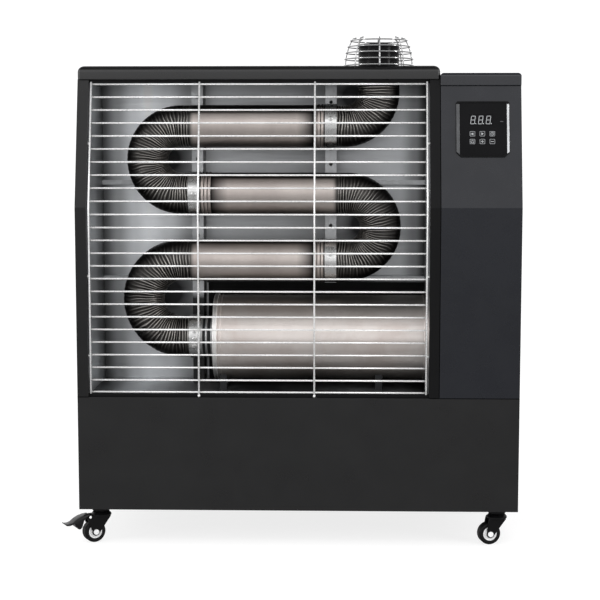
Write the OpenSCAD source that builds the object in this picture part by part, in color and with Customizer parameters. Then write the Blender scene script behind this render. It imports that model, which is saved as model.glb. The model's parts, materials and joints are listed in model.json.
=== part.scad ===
// Oil-fired infrared heater: a sheet-metal cabinet on four casters, with a
// serpentine of pleated stainless pipes behind a wire guard.
// Millimetres. The front faces -Y, +X is the viewer's right and +Z is up.
// The origin is on the floor, under the middle of the cabinet.

/* [Cabinet] */
// Width of the cabinet
body_w = 750; // [720:10:850]
// Depth of the cabinet
body_d = 400; // [390:10:460]
// Thickness of the painted sheet
sheet_t = 1.5; // [1:0.25:2]
// Height of the base that holds the fuel tank
base_h = 195; // [185:5:230]
// Height of the upright front above the base
front_h = 322; // [312:2:350]
// Height of the front that leans back
lean_h = 215; // [207:1:235]
// Lean of the upper front from upright, in degrees
lean_deg = 12.6; // [8:0.2:14]
// Height of the lid over the heat exchanger
lid_h = 23; // [20:1:30]
// Height of the cap over the control column
cap_h = 21; // [17:1:24]
// How far the cap's top lies under the lid's top
cap_drop = 12.5; // [8:0.5:18]
// Radius of the lid's and the cap's rounded edges
lid_round = 6; // [3:0.5:9]
// How far the lids reach past the front
lid_overhang = 3; // [2:0.5:5]
// Width of the control column
column_w = 136; // [132:1:150]
// Width of the post between the opening and the column
post_w = 17; // [12:1:22]
// Width of the frame strip left of the opening
strip_w = 19; // [14:1:24]
// Depth of the folded edges of the panels
fold_d = 15; // [10:1:18]
// How far the rear panels sit inside the side panels' edges
rear_inset = 15; // [12:1:18]

/* [Heat exchanger] */
// Outer diameter of the pipes
pipe_d = 72; // [68:1:76]
// Wall of the straight pipes
pipe_wall = 1.5; // [1:0.25:2]
// Distance of the top pipe row's axis under the lid
top_row_drop = 78; // [76:1:84]
// How much further the lowest row is from the chamber's axis than from the next row
first_extra = 18; // [14:1:24]
// Height of the chamber's axis above the base
chamber_lift = 93; // [90:1:98]
// Outer diameter of the combustion chamber
chamber_d = 146; // [136:1:150]
// Wall of the combustion chamber
chamber_wall = 2; // [1.5:0.5:3]
// Distance of the pipes' axes behind the front
pipe_inset = 95; // [92:1:100]
// Depth of the opening from the front to the reflector
cavity_depth = 190; // [184:1:196]
// Distance of the left returns' centre from the opening's left edge
left_return_inset = 151.5; // [145:0.5:165]
// Distance of the right return's centre from the opening's right edge
right_return_inset = 139.5; // [136:0.5:145]
// Distance of the flue's axis from the opening's right edge
flue_inset = 85.5; // [80:0.5:92]
// Depth of a pleat on the inside of a bend
pleat_depth = 3; // [1.5:0.5:4]
// Pleats in a half turn
pleats_half_turn = 26; // [20:1:30]
// Length of pleated pipe before and after a bend
pleat_lead = 18; // [15:0.5:22]
// Width of the pipe clamps
clamp_w = 20; // [16:1:22]
// Thickness of the pipe clamps
clamp_t = 2.2; // [1.5:0.1:3]
// Thickness of the bright reflector sheet
reflector_t = 1; // [0.8:0.1:1.5]

/* [Flue and guards] */
// Outer diameter of the flue outlet
flue_d = 70; // [66:1:72]
// Height of the flue outlet above the lid
flue_rise = 37.5; // [30:0.5:45]
// Diameter of the guard's wires
wire_d = 3; // [2.5:0.1:3.5]
// Cross wires in the guard
guard_rows = 25; // [19:1:27]
// Diameter of the flue cage's wires
cage_wire_d = 2.4; // [2:0.1:3]
// Radius of the flue cage at the lid
cage_r = 59; // [56:0.5:64]

/* [Controls] */
// Width of the control bezel
bezel_w = 89.5; // [84:0.5:96]
// Height of the control bezel along the leaning front
bezel_h = 95; // [88:0.5:100]
// Height of the bezel's middle under the cap
bezel_drop = 74; // [66:1:84]
// How far the bezel stands out of the front
bezel_proud = 3; // [2:0.5:4]

/* [Base and burner] */
// Height of the fuel tank
tank_h = 112; // [95:1:114]
// Width of the fuel tank
tank_w = 540; // [480:10:560]
// Outer radius of the burner's fan housing
fan_housing_r = 56; // [52:1:58]
// Radius of the motor's shaft
shaft_r = 5; // [4:0.5:6]
// Outer radius of the filler cap
cap_r = 26; // [24:1:30]

/* [Casters] */
// Height of the casters
caster_h = 62; // [60:0.5:70]
// Radius of the wheels
wheel_r = 19; // [17:0.5:19.5]
// Width of the wheels
wheel_w = 17; // [14:0.5:19]
// Distance of a wheel's axle behind its swivel
caster_trail = 14; // [12:0.5:16]
// Distance of the swivels from the cabinet's sides
caster_inset_x = 33; // [32:0.5:45]
// Distance of the swivels from the cabinet's front and rear
caster_inset_y = 30; // [26:0.5:45]
// Length of the brake pedal from the swivel
pedal_reach = 68; // [60:1:75]

/* [Hidden] */
$fn = 64;

// running clearance of a shaft in its hole, and the gap between fixed shells
run_gap = 0.05;
seam = 0.5;

// levels
base_z = caster_h;
base_top = base_z + base_h;
crease_z = base_top + front_h;
lid_z = crease_z + lean_h;
lid_top = lid_z + lid_h;
cap_top = lid_top - cap_drop;
cap_z = cap_top - cap_h;

// places across the cabinet
side_x = body_w / 2;
front_y = -body_d / 2;
rear_y = body_d / 2 - rear_inset;
open_x0 = -side_x + strip_w;
post_x = side_x - column_w;
open_x1 = post_x - post_w;

// heat exchanger
pipe_r = pipe_d / 2;
axis_y = front_y + pipe_inset;
back_y = front_y + cavity_depth;
chamber_z = base_top + chamber_lift;
row1_z = lid_z - top_row_drop;
row_pitch = (row1_z - chamber_z - first_extra) / 3;
row2_z = row1_z - row_pitch;
row3_z = row2_z - row_pitch;
first_pitch = row3_z - chamber_z;
return_r = row_pitch / 2;
first_r = first_pitch / 2;
left_x = open_x0 + left_return_inset;
right_x = open_x1 - right_return_inset;
flue_x = open_x1 - flue_inset;
elbow_x = flue_x - return_r;
clamp_r = pipe_r + clamp_t;
left_clamp_x = left_x + pleat_lead - 4 + clamp_w / 2;
right_clamp_x = elbow_x - pleat_lead + 4 - clamp_w / 2;
floor_z = base_top + 4;
support_y = axis_y + clamp_r + 3;

// Y of the cabinet's front at height z
function front_at(z) = front_y + max(0, z - crease_z) * tan(lean_deg);

// extrudes a YZ outline from x0 to x1
module across(x0, x1) {
    translate([x0, 0, 0]) rotate([90, 0, 90]) linear_extrude(x1 - x0) children();
}

// YZ outline of a band along the front, between two depths behind it
module front_band(z0, z1, d0, d1) {
    polygon([
        [front_at(z0) + d0, z0], [front_at(crease_z) + d0, crease_z], [front_at(z1) + d0, z1],
        [front_at(z1) + d1, z1], [front_at(crease_z) + d1, crease_z], [front_at(z0) + d1, z0]
    ]);
}

// a folded cover along the front, open behind
module front_cover(x0, x1, z0, z1) {
    difference() {
        across(x0, x1) front_band(z0, z1, 0, fold_d);
        across(x0 + sheet_t, x1 - sheet_t) front_band(z0 + sheet_t, z1 - sheet_t, sheet_t, fold_d + 1);
    }
}

// a box between two corners
module block(a, b) {
    translate(a) cube(b - a);
}

// a cylinder along X whose axis runs through the pipes' plane
module along_pipe(x0, x1, z, r) {
    translate([x0, axis_y, z]) rotate([0, 90, 0]) cylinder(h = x1 - x0, r = r);
}

// a straight round rod from a to b
module rod(a, b, d) {
    v = b - a;
    translate(a) rotate([0, acos(v[2] / norm(v)), atan2(v[1], v[0])]) cylinder(h = norm(v), d = d);
}

// puts children on the leaning front: local X across, -Y out of it, Z up along it
module on_slope(x, z) {
    translate([x, front_at(z), z]) rotate([-lean_deg, 0, 0]) children();
}

// a bent wire that sets out along +Z; each leg is [straight, turn towards +X, radius of the turn]
// the straights are a hair thinner than the turns and reach a little into them
module bent_wire(legs, d, i = 0) {
    if (i < len(legs)) {
        leg = legs[i];
        turn = leg[1];
        r = leg[2];
        lap = 0.4;
        before = i > 0 ? lap : 0;
        translate([0, 0, -before]) cylinder(h = before + leg[0] + (turn > 0 ? lap : 0), d = d * 0.98);
        translate([0, 0, leg[0]]) {
            if (turn > 0) {
                translate([r, 0, 0]) rotate([90, 0, 0]) rotate_extrude(start = 180 - turn, angle = turn)
                    translate([r, 0]) circle(d = d);
            }
            translate([r * (1 - cos(turn)), 0, r * sin(turn)]) rotate([0, turn, 0])
                bent_wire(legs, d, i + 1);
        }
    }
}

// a dome-headed screw that points along +Z, with its seat at the origin
module screw(head_r = 4, length = 6) {
    rotate_extrude() intersection() {
        translate([0, head_r * 0.35]) circle(r = head_r * 1.06);
        translate([0, -head_r]) square([head_r, head_r]);
    }
    cylinder(h = length, r = head_r * 0.45);
}

// square with its two upper corners rounded
module round_top(w, h, r) {
    difference() {
        square([w, h]);
        for (s = [0, 1]) {
            translate([s * w, h]) mirror([s, 0]) difference() {
                translate([-1, -r]) square([r + 1, r + 1]);
                translate([r, -r]) circle(r = r);
            }
        }
    }
}

// ---------------------------------------------------------------- cabinet

// a side panel of the base: a sheet with a fold along its top and its foot
module base_side(s) {
    for (z = [base_z, base_top - sheet_t]) {
        block([min(s * side_x, s * (side_x - fold_d)), front_y + fold_d, z],
              [max(s * side_x, s * (side_x - fold_d)), body_d / 2, z + sheet_t]);
    }
    block([min(s * side_x, s * (side_x - sheet_t)), front_y + fold_d, base_z],
          [max(s * side_x, s * (side_x - sheet_t)), body_d / 2, base_top]);
}

module base_front() {
    color("#2b2b2d") difference() {
        block([-side_x, front_y, base_z], [side_x, front_y + fold_d, base_top]);
        block([-side_x + sheet_t, front_y + sheet_t, base_z + sheet_t],
              [side_x - sheet_t, front_y + fold_d + 1, base_top - sheet_t]);
    }
}

module base_left() {
    color("#2b2b2d") base_side(-1);
}

module base_right() {
    color("#2b2b2d") base_side(1);
}

// the fuel filler's pocket, in the rear of the base
tank_top = base_z + 6 + tank_h;
pocket_x0 = -275;
pocket_x1 = -155;
pocket_z0 = tank_top + 3;
pocket_z1 = base_top - 8;
pocket_d = 85;
cap_x = -240;
gauge_x = -182;
filler_y = rear_y - 44;
neck_r = cap_r - 6;
inlet_x = side_x - 75;
inlet_z = base_z + 48;

module base_rear() {
    color("#2b2b2d") difference() {
        union() {
            block([-side_x + sheet_t, rear_y - sheet_t, base_z + sheet_t],
                  [side_x - sheet_t, rear_y, base_top - sheet_t]);
            block([-side_x + fold_d, rear_y - sheet_t, base_z + sheet_t],
                  [side_x - fold_d, rear_y, base_top]);
        }
        rear_screw_holes();
        block([pocket_x0, rear_y - 10, pocket_z0], [pocket_x1, rear_y + 1, pocket_z1]);
        block([inlet_x - 16, rear_y - 10, inlet_z - 12], [inlet_x + 16, rear_y + 1, inlet_z + 12]);
    }
}

// the floor pan, which the casters bolt to
module base_floor() {
    color("#2b2b2d") difference() {
        block([-side_x + fold_d, front_y + fold_d, base_z],
              [side_x - fold_d, rear_y - sheet_t, base_z + 2 * sheet_t]);
        for (x = [-150, 0, 150]) {
            translate([x, -60, base_z - 1]) cylinder(h = 9, r = 6);
        }
    }
}

// YZ outline of a side panel whose front edge runs d behind the front
module side_outline(z1, d) {
    polygon([
        [front_y + d, base_top], [front_y + d, crease_z], [front_at(z1) + d, z1],
        [body_d / 2, z1], [body_d / 2, base_top]
    ]);
}

module left_panel() {
    color("#2f3033") {
        across(-side_x, -side_x + sheet_t) side_outline(lid_z, 0);
        // the folded strip beside the opening, and its lip
        across(-side_x, open_x0) front_band(base_top, lid_z, 0, sheet_t);
        across(open_x0 - sheet_t, open_x0) front_band(base_top, lid_z, 0, fold_d);
        // the rear fold
        block([-side_x, body_d / 2 - sheet_t, base_top], [-side_x + fold_d, body_d / 2, lid_z]);
    }
}

louvre_w = 150;
louvre_pitch = 16;

module right_panel() {
    color("#333438") difference() {
        union() {
            across(side_x - sheet_t, side_x) side_outline(cap_z, fold_d);
            block([side_x - fold_d, body_d / 2 - sheet_t, base_top], [side_x, body_d / 2, cap_z]);
        }
        // combustion air slots, low at the burner
        for (i = [0 : 8]) {
            block([side_x - 5, -louvre_w / 2, base_top + 40 + i * louvre_pitch],
                  [side_x + 1, louvre_w / 2, base_top + 46 + i * louvre_pitch]);
        }
    }
}

module centre_post() {
    color("#1d1d1f") front_cover(open_x1, post_x, base_top, lid_z);
}

// wall between the heat exchanger and the burner
module partition() {
    color("#26262a") difference() {
        across(post_x - sheet_t, post_x) polygon([
            [front_y + fold_d, base_top], [front_y + fold_d, crease_z],
            [front_at(lid_z) + fold_d, lid_z],
            [rear_y - sheet_t, lid_z], [rear_y - sheet_t, base_top]
        ]);
        along_pipe(post_x - 10, post_x + 10, chamber_z, tube_r + 2);
    }
}

// window behind the control bezel
bezel_x = (post_x + side_x) / 2 + 2.5;
bezel_z = cap_z - bezel_drop;
window_w = bezel_w - 12;
window_h = bezel_h - 12;

module column_front() {
    color("#36373b") difference() {
        front_cover(post_x + seam, side_x, base_top, cap_z);
        on_slope(bezel_x, bezel_z)
            block([-window_w / 2, -5, -window_h / 2], [window_w / 2, fold_d - 4, window_h / 2]);
    }
}

module rear_panel() {
    color("#2b2b2d") difference() {
        block([-side_x + sheet_t, rear_y - sheet_t, base_top], [post_x, rear_y, lid_z]);
        rear_screw_holes();
        // warm air slots high behind the reflector
        for (i = [0 : 5], x = [-250, -60, 130]) {
            block([x - 60, rear_y - 5, lid_z - 60 - i * louvre_pitch],
                  [x + 60, rear_y + 1, lid_z - 54 - i * louvre_pitch]);
        }
    }
}

// one pressed louvre hood that leans out over its slot
module louvre(w) {
    rotate([25, 0, 0]) block([-w / 2, 0, -1.2], [w / 2, 11, 0]);
}

// the burner's service door, with a row of hooded louvres
module rear_door() {
    door_x0 = post_x + seam;
    door_x1 = side_x - sheet_t;
    color("#2b2b2d") difference() {
        union() {
            block([door_x0, rear_y - sheet_t, base_top], [door_x1, rear_y, cap_z]);
            for (i = [0 : 11]) {
                translate([(door_x0 + door_x1) / 2, rear_y - sheet_t, base_top + 70 + i * louvre_pitch])
                    mirror([0, 0, 1]) louvre(96);
            }
        }
        rear_screw_holes();
        for (i = [0 : 11]) {
            translate([(door_x0 + door_x1) / 2 - 47, rear_y - 6, base_top + 62 + i * louvre_pitch])
                cube([94, 12, 5]);
        }
    }
}

// a slab between two corners with its four upper edges rounded
module rounded_slab(a, b, r) {
    size = b - a;
    intersection() {
        across(a[0], b[0]) translate([a[1], a[2]]) round_top(size[1], size[2], r);
        translate([a[0], b[1], a[2]]) rotate([90, 0, 0])
            linear_extrude(size[1]) round_top(size[0], size[2], r);
    }
}

// a lid: a folded tray, open below, with rounded upper edges
module tray_lid(x0, x1, z0, h) {
    y0 = front_at(z0) - lid_overhang;
    y1 = body_d / 2;
    t = sheet_t;
    difference() {
        rounded_slab([x0, y0, z0], [x1, y1, z0 + h], lid_round);
        rounded_slab([x0 + t, y0 + t, z0 - 1], [x1 - t, y1 - t, z0 + h - t], lid_round - t);
    }
}

module top_lid() {
    color("#2c2c2e") difference() {
        tray_lid(-side_x, post_x, lid_z, lid_h);
        translate([flue_x, axis_y, lid_z]) cylinder(h = lid_h + 5, r = flue_d / 2 + 4);
    }
}

module column_cap() {
    color("#333438") tray_lid(post_x + seam, side_x, cap_z, cap_h);
}

// ------------------------------------------------------- bright reflector

module reflector_back() {
    color("#b9bcc0") block([open_x0, back_y, floor_z], [open_x1, back_y + reflector_t, lid_z]);
}

// YZ outline of a reflector wall
module wall_outline() {
    polygon([
        [front_y + fold_d, floor_z - reflector_t], [front_y + fold_d, crease_z],
        [front_at(lid_z) + fold_d, lid_z], [back_y + reflector_t, lid_z],
        [back_y + reflector_t, floor_z - reflector_t]
    ]);
}

module reflector_sides() {
    color("#a9adb2") {
        across(open_x0 - reflector_t, open_x0) wall_outline();
        difference() {
            across(open_x1, open_x1 + reflector_t) wall_outline();
            along_pipe(open_x1 - 5, open_x1 + 5, chamber_z, chamber_d / 2 + 1);
        }
    }
}

module reflector_top() {
    color("#a9adb2") difference() {
        block([open_x0 - reflector_t, front_at(lid_z) + fold_d, lid_z],
              [open_x1 + reflector_t, back_y + reflector_t, lid_z + reflector_t]);
        translate([flue_x, axis_y, lid_z - 5]) cylinder(h = 10, r = flue_d / 2 + 1);
    }
}

module reflector_floor() {
    color("#8f9398")
        block([open_x0, front_y + frame_inset + sheet_t, floor_z - reflector_t],
              [open_x1, back_y + reflector_t, floor_z]);
}

// how far the opening's frame sits behind the front, just clear of the guard
frame_inset = 4.5;
lintel_h = 6;

// the sill and the lintel that close the opening's frame below and above
module opening_frame() {
    y0 = front_y + frame_inset;
    y1 = front_at(lid_z) + frame_inset;
    color("#1d1d1f") {
        block([open_x0, y0, base_top], [open_x1, y0 + sheet_t, floor_z + 2.5]);
        block([open_x0, y1, lid_z - lintel_h], [open_x1, y1 + sheet_t, lid_z]);
    }
}

shield_top = chamber_z + chamber_d / 2 + 18;

// black shield behind the chamber, with a folded ledge along its top
module heat_shield() {
    x0 = left_clamp_x + clamp_w / 2 + 4;
    y1 = back_y - 3.5;
    color("#101011") {
        block([x0, y1 - sheet_t, floor_z], [open_x1 - seam, y1, shield_top]);
        block([x0, back_y - 40, shield_top - sheet_t], [open_x1 - seam, y1, shield_top]);
    }
}

tie_d = 14;
tie_h = 8;
tie_over_row = 13;

// angle bars across the back of the opening, their edges turned down
module tie_bars() {
    color("#8b8f94") for (z = [shield_top, row2_z + tie_over_row]) {
        difference() {
            block([open_x0, back_y - tie_d, z], [open_x1, back_y, z + tie_h]);
            block([open_x0 - 1, back_y - tie_d + sheet_t, z - 1],
                  [open_x1 + 1, back_y + 1, z + tie_h - sheet_t]);
            for (x = [left_clamp_x, right_clamp_x]) {
                block([x - clamp_w / 2 - 0.2, back_y - tie_d - 1, z - 2],
                      [x + clamp_w / 2 + 0.2, back_y + 1, z + tie_h + 1]);
            }
        }
    }
}

// upright perforated channel that carries the clamps
module support(x, z0) {
    difference() {
        block([x - clamp_w / 2, support_y, z0], [x + clamp_w / 2, back_y, lid_z]);
        block([x - clamp_w / 2 + sheet_t, support_y + sheet_t, z0 - 1],
              [x + clamp_w / 2 - sheet_t, back_y + 1, lid_z + 1]);
        for (z = [z0 + 20 : 27 : lid_z - 10]) {
            translate([x, support_y - 1, z]) rotate([-90, 0, 0]) cylinder(h = 4, r = 3);
        }
    }
}

module pipe_supports() {
    color("#c5c8cb") {
        support(left_clamp_x, floor_z);
        support(right_clamp_x, shield_top);
    }
}

// ------------------------------------------------------ heat exchanger

chamber_x0 = left_clamp_x + 33;
chamber_x1 = post_x - sheet_t;
tube_r = 42;
chamber_ring = 10;

// a bead rolled round a pipe
module bead(x, z) {
    translate([x, axis_y, z]) rotate([0, 90, 0]) rotate_extrude()
        translate([pipe_r - 0.6, 0]) circle(r = 2.2, $fn = 24);
}

// a pipe between two places along X, with beads at given places
module straight(x0, x1, z, beads = []) {
    $fn = 128;
    along_pipe(x0, x1, z, pipe_r);
    for (x = beads) {
        bead(x, z);
    }
}

// the beads beside a clamp, on the side away from the bend
function bead_places(x, s) = [for (i = [0 : 2]) x + s * (clamp_w / 2 + 4.5 + i * 6)];

// how strongly a pleat shows at an angle from the bend's inside
function pleat_weight(a) = 0.12 + 0.88 * pow((1 + cos(a)) / 2, 0.7);

// points of a bend's centre line: straight, round, straight; each [x, z, heading]
function bend_path(r, sweep, lead_in, lead_out, steps) =
    let (unit = r * sweep * PI / 180 / steps, n_in = ceil(lead_in / unit), n_out = ceil(lead_out / unit))
    concat(
        [for (i = [0 : n_in - 1]) [-lead_in * (1 - i / n_in), 0, 0]],
        [for (i = [0 : steps]) let (a = sweep * i / steps) [r * sin(a), r - r * cos(a), a]],
        [for (i = [1 : n_out]) let (d = lead_out * i / n_out)
            [r * sin(sweep) + d * cos(sweep), r - r * cos(sweep) + d * sin(sweep), sweep]]
    );

// a pleated bend that leaves along +X and turns up towards +Z
module pleated_bend(r, sweep, lead_in, lead_out) {
    sides = 20;
    half_steps = 2 * round(pleats_half_turn * sweep / 180);
    path = bend_path(r, sweep, lead_in, lead_out, half_steps);
    last = len(path) - 1;
    end_r = pipe_r - pipe_wall / 2;
    points = [for (i = [0 : last], j = [0 : sides - 1])
        let (
            a = 360 * j / sides,
            fold = i % 2 == 1 ? pleat_depth * pleat_weight(a) : 0,
            q = i == 0 || i == last ? end_r : pipe_r - fold,
            c = path[i],
            inward = q * cos(a)
        )
        [c[0] - sin(c[2]) * inward, q * sin(a), c[1] + cos(c[2]) * inward]];
    skin = [for (i = [0 : last - 1], j = [0 : sides - 1])
        let (k = (j + 1) % sides)
        [i * sides + j, i * sides + k, (i + 1) * sides + k, (i + 1) * sides + j]];
    caps = [[for (j = [sides - 1 : -1 : 0]) j], [for (j = [0 : sides - 1]) last * sides + j]];
    polyhedron(points, concat(skin, caps));
}

// the round way through a bend
module bend_bore(r, sweep, lead_in, lead_out) {
    $fn = 128;
    bore_r = pipe_r - pleat_depth - pipe_wall;
    translate([0, 0, r]) rotate([90, 0, 0]) rotate_extrude(start = -90, angle = sweep)
        translate([r, 0]) circle(r = bore_r);
    translate([-lead_in - 1, 0, 0]) rotate([0, 90, 0]) cylinder(h = lead_in + 1, r = bore_r);
    translate([r * sin(sweep), 0, r - r * cos(sweep)]) rotate([0, 90 - sweep, 0])
        cylinder(h = lead_out + 1, r = bore_r);
}

// the bore of a straight pipe
module straight_bore(x0, x1, z) {
    along_pipe(x0, x1, z, pipe_r - pipe_wall, $fn = 128);
}

// how far a pleated lead reaches into the plain pipe that carries it
lap = 2;
stub = clamp_w / 2;

// one return of the serpentine: from a clamp round the bend and back along the next row
module left_return(z, r, spigot_x, end_x) {
    lead_in = spigot_x - clamp_w / 2 - left_x;
    difference() {
        union() {
            straight(spigot_x - stub, spigot_x, z);
            straight(left_x + pleat_lead, end_x, z + 2 * r, bead_places(end_x, -1));
            translate([left_x, axis_y, z]) mirror([1, 0, 0])
                pleated_bend(r, 180, lead_in + lap, pleat_lead + lap);
        }
        straight_bore(spigot_x - stub + lap, spigot_x + 1, z);
        straight_bore(left_x + pleat_lead + lap, end_x + 1, z + 2 * r);
        translate([left_x, axis_y, z]) mirror([1, 0, 0]) bend_bore(r, 180, lead_in + lap, pleat_lead + lap);
    }
}

module right_return(z, r, spigot_x, end_x) {
    lead_in = right_x - spigot_x - clamp_w / 2;
    difference() {
        union() {
            straight(spigot_x, spigot_x + stub, z);
            straight(end_x, right_x - pleat_lead, z + 2 * r, bead_places(end_x, 1));
            translate([right_x, axis_y, z]) pleated_bend(r, 180, lead_in + lap, pleat_lead + lap);
        }
        straight_bore(spigot_x - 1, spigot_x + stub - lap, z);
        straight_bore(end_x - 1, right_x - pleat_lead - lap, z + 2 * r);
        translate([right_x, axis_y, z]) bend_bore(r, 180, lead_in + lap, pleat_lead + lap);
    }
}

module pipe_lower_return() {
    color("#8f8076") left_return(chamber_z, first_r, left_clamp_x, right_clamp_x);
}

module pipe_right_return() {
    color("#8f8076") right_return(row3_z, return_r, right_clamp_x, left_clamp_x);
}

module pipe_upper_return() {
    color("#8f8076") left_return(row2_z, return_r, left_clamp_x, right_clamp_x);
}

flange_t = 4;
flange_z = lid_z - flange_t;

module pipe_flue_elbow() {
    lead_in = elbow_x - right_clamp_x - clamp_w / 2;
    $fn = 128;
    color("#8f8076") difference() {
        union() {
            straight(right_clamp_x, right_clamp_x + stub, row1_z);
            translate([elbow_x, axis_y, row1_z]) pleated_bend(return_r, 90, lead_in + lap, 6);
            translate([flue_x, axis_y, row1_z + return_r + 4])
                cylinder(h = flange_z - row1_z - return_r - 4, r = pipe_r);
        }
        straight_bore(right_clamp_x - 1, right_clamp_x + stub - lap, row1_z);
        translate([flue_x, axis_y, row1_z + return_r + 6]) cylinder(h = 60, r = pipe_r - pipe_wall);
        translate([elbow_x, axis_y, row1_z]) bend_bore(return_r, 90, lead_in + lap, 6);
    }
}

// the chamber with its rolled end ring and the spigot for the first pipe
module combustion_chamber() {
    ring = chamber_ring;
    r = chamber_d / 2;
    w = chamber_wall;
    color("#b8a9a0") union() {
        translate([0, axis_y, chamber_z]) rotate([0, 90, 0]) rotate_extrude() polygon([
            [pipe_r - pipe_wall, left_clamp_x], [pipe_r, left_clamp_x],
            [pipe_r, chamber_x0], [r + 1.5, chamber_x0], [r + 1.5, chamber_x0 + ring],
            [r, chamber_x0 + ring],
            [r, chamber_x1], [tube_r + 1, chamber_x1], [tube_r + 1, chamber_x1 - w],
            [r - w, chamber_x1 - w], [r - w, chamber_x0 + w], [pipe_r - pipe_wall, chamber_x0 + w]
        ]);
        for (x = bead_places(left_clamp_x, 1)) {
            bead(x, chamber_z);
        }
    }
}

// saddles that stand on the floor and cradle the chamber
module chamber_saddles() {
    w = 12;
    reach = chamber_d * 0.27;
    color("#77797c") for (x = [chamber_x0 + chamber_ring + 1, chamber_x1 - chamber_d * 0.72]) {
        difference() {
            block([x, axis_y - reach, floor_z], [x + w, axis_y + reach, chamber_z - chamber_d / 4]);
            along_pipe(x - 1, x + w + 1, chamber_z, chamber_d / 2);
        }
    }
}

// each clamp's place, with the angles of its screws above the pipe's middle
clamp_places = [
    [right_clamp_x, row1_z, [19]], [left_clamp_x, row2_z, [0]],
    [right_clamp_x, row3_z, [20]], [left_clamp_x, chamber_z, [-20, 0, 20]]
];

// puts children on a clamp's face, with +Z towards the pipe
module on_clamp(p, angle) {
    translate([p[0], axis_y, p[1]]) rotate([-90 - angle, 0, 0]) translate([0, 0, -clamp_r]) children();
}

module pipe_clamps() {
    color("#d4d6d8") for (p = clamp_places) {
        difference() {
            union() {
                along_pipe(p[0] - clamp_w / 2, p[0] + clamp_w / 2, p[1], clamp_r);
                block([p[0] - clamp_w / 2, axis_y, p[1] - 9], [p[0] + clamp_w / 2, support_y, p[1] + 9]);
            }
            along_pipe(p[0] - clamp_w, p[0] + clamp_w, p[1], pipe_r);
            for (a = p[2]) {
                on_clamp(p, a) translate([0, 0, -3]) cylinder(h = clamp_t + 4, r = screw_hole_r);
            }
        }
    }
}

flange_r = flue_d / 2 + 17;
flue_screw_r = flue_d / 2 + 10;
flue_screw_angles = [45 : 90 : 315];

// places of the screws round the rear panels: [x, z]
rear_screws = concat(
    [for (x = [-side_x + 26, -60, post_x - 16], z = [base_top + 12, lid_z - 14]) [x, z]],
    [for (x = [post_x + 14, side_x - 26], z = [base_top + 30, cap_z - 20]) [x, z]],
    [for (x = [-side_x + 26, 0, side_x - 26], z = [base_z + 16, base_top - 16]) [x, z]]
);
screw_hole_r = 2;

module rear_screw_holes() {
    for (p = rear_screws) {
        translate([p[0], rear_y + 1, p[1]]) rotate([90, 0, 0]) cylinder(h = sheet_t + 2, r = screw_hole_r);
    }
}

module screws() {
    color("#dfe1e3") {
        for (p = clamp_places, a = p[2]) {
            on_clamp(p, a) screw(4, clamp_t - 0.3);
        }
        for (a = flue_screw_angles) {
            translate([flue_x, axis_y, flange_z] + flue_screw_r * [cos(a), sin(a), 0])
                screw(4, flange_t - 0.5);
        }
        for (p = rear_screws) {
            translate([p[0], rear_y, p[1]]) rotate([90, 0, 0]) screw(4, sheet_t);
        }
    }
}

// ------------------------------------------------------ flue and guards

// the outlet: a short pipe on a flange that is screwed up against the ceiling
module flue_outlet() {
    color("#161616") difference() {
        union() {
            difference() {
                translate([flue_x, axis_y, flange_z]) cylinder(h = flange_t, r = flange_r);
                block([flue_x - flange_r, axis_y - flange_r - 1, flange_z - 1],
                      [flue_x + flange_r, front_at(lid_z) + frame_inset + sheet_t + seam, lid_z + 1]);
            }
            translate([flue_x, axis_y, flange_z])
                cylinder(h = lid_top + flue_rise - flange_z, r = flue_d / 2);
        }
        translate([flue_x, axis_y, flange_z - 1])
            cylinder(h = lid_top + flue_rise - flange_z + 2, r = flue_d / 2 - pipe_wall);
        for (a = flue_screw_angles) {
            translate([flue_x, axis_y, flange_z - 1] + flue_screw_r * [cos(a), sin(a), 0])
                cylinder(h = flange_t + 2, r = screw_hole_r);
        }
    }
}

// the cage's wires lean in along an arc, and its rings follow them
cage_h = flue_rise + 5.5;
cage_turn = 28;
cage_bend_r = cage_h / sin(cage_turn);
cage_z = lid_top + 1;
cage_weld = 0.6;
function cage_radius(z) = cage_r - cage_bend_r + sqrt(cage_bend_r * cage_bend_r - z * z);

module flue_cage() {
    tip_r = 4;
    tip_turn = 45;
    top_r = cage_radius(cage_h) - cage_wire_d + cage_weld;
    color("#e4e4e2") {
        for (t = [0.02, 0.27, 0.52, 0.76, 1]) {
            translate([flue_x, axis_y, cage_z + t * cage_h]) rotate_extrude()
                translate([cage_radius(t * cage_h), 0]) circle(d = cage_wire_d);
        }
        for (a = [0 : 45 : 315]) {
            translate([flue_x, axis_y, cage_z - 1]) rotate(a)
                translate([cage_r - cage_wire_d + cage_weld, 0, 0]) mirror([1, 0, 0])
                bent_wire([
                    [1, cage_turn, cage_bend_r],
                    [1.5, tip_turn, tip_r],
                    [top_r - flue_d / 2 - 6, 0, 0]
                ], cage_wire_d);
        }
    }
}

guard_z0 = floor_z + 6;
guard_z1 = lid_z - lintel_h - 2;
guard_upright = crease_z - guard_z0;
guard_length = guard_upright + (guard_z1 - crease_z) / cos(lean_deg);

// [y, z] at a distance along the guard, set back from the front
function guard_at(s, back) =
    let (z = s < guard_upright ? guard_z0 + s : crease_z + (s - guard_upright) * cos(lean_deg))
    [front_at(z) + back, z];

guard_w = open_x1 - open_x0 - 9;
guard_x0 = open_x0 + 4;
guard_x = [guard_x0, guard_x0 + guard_w / 3.1, guard_x0 + guard_w * 2 / 3, guard_x0 + guard_w];

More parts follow.
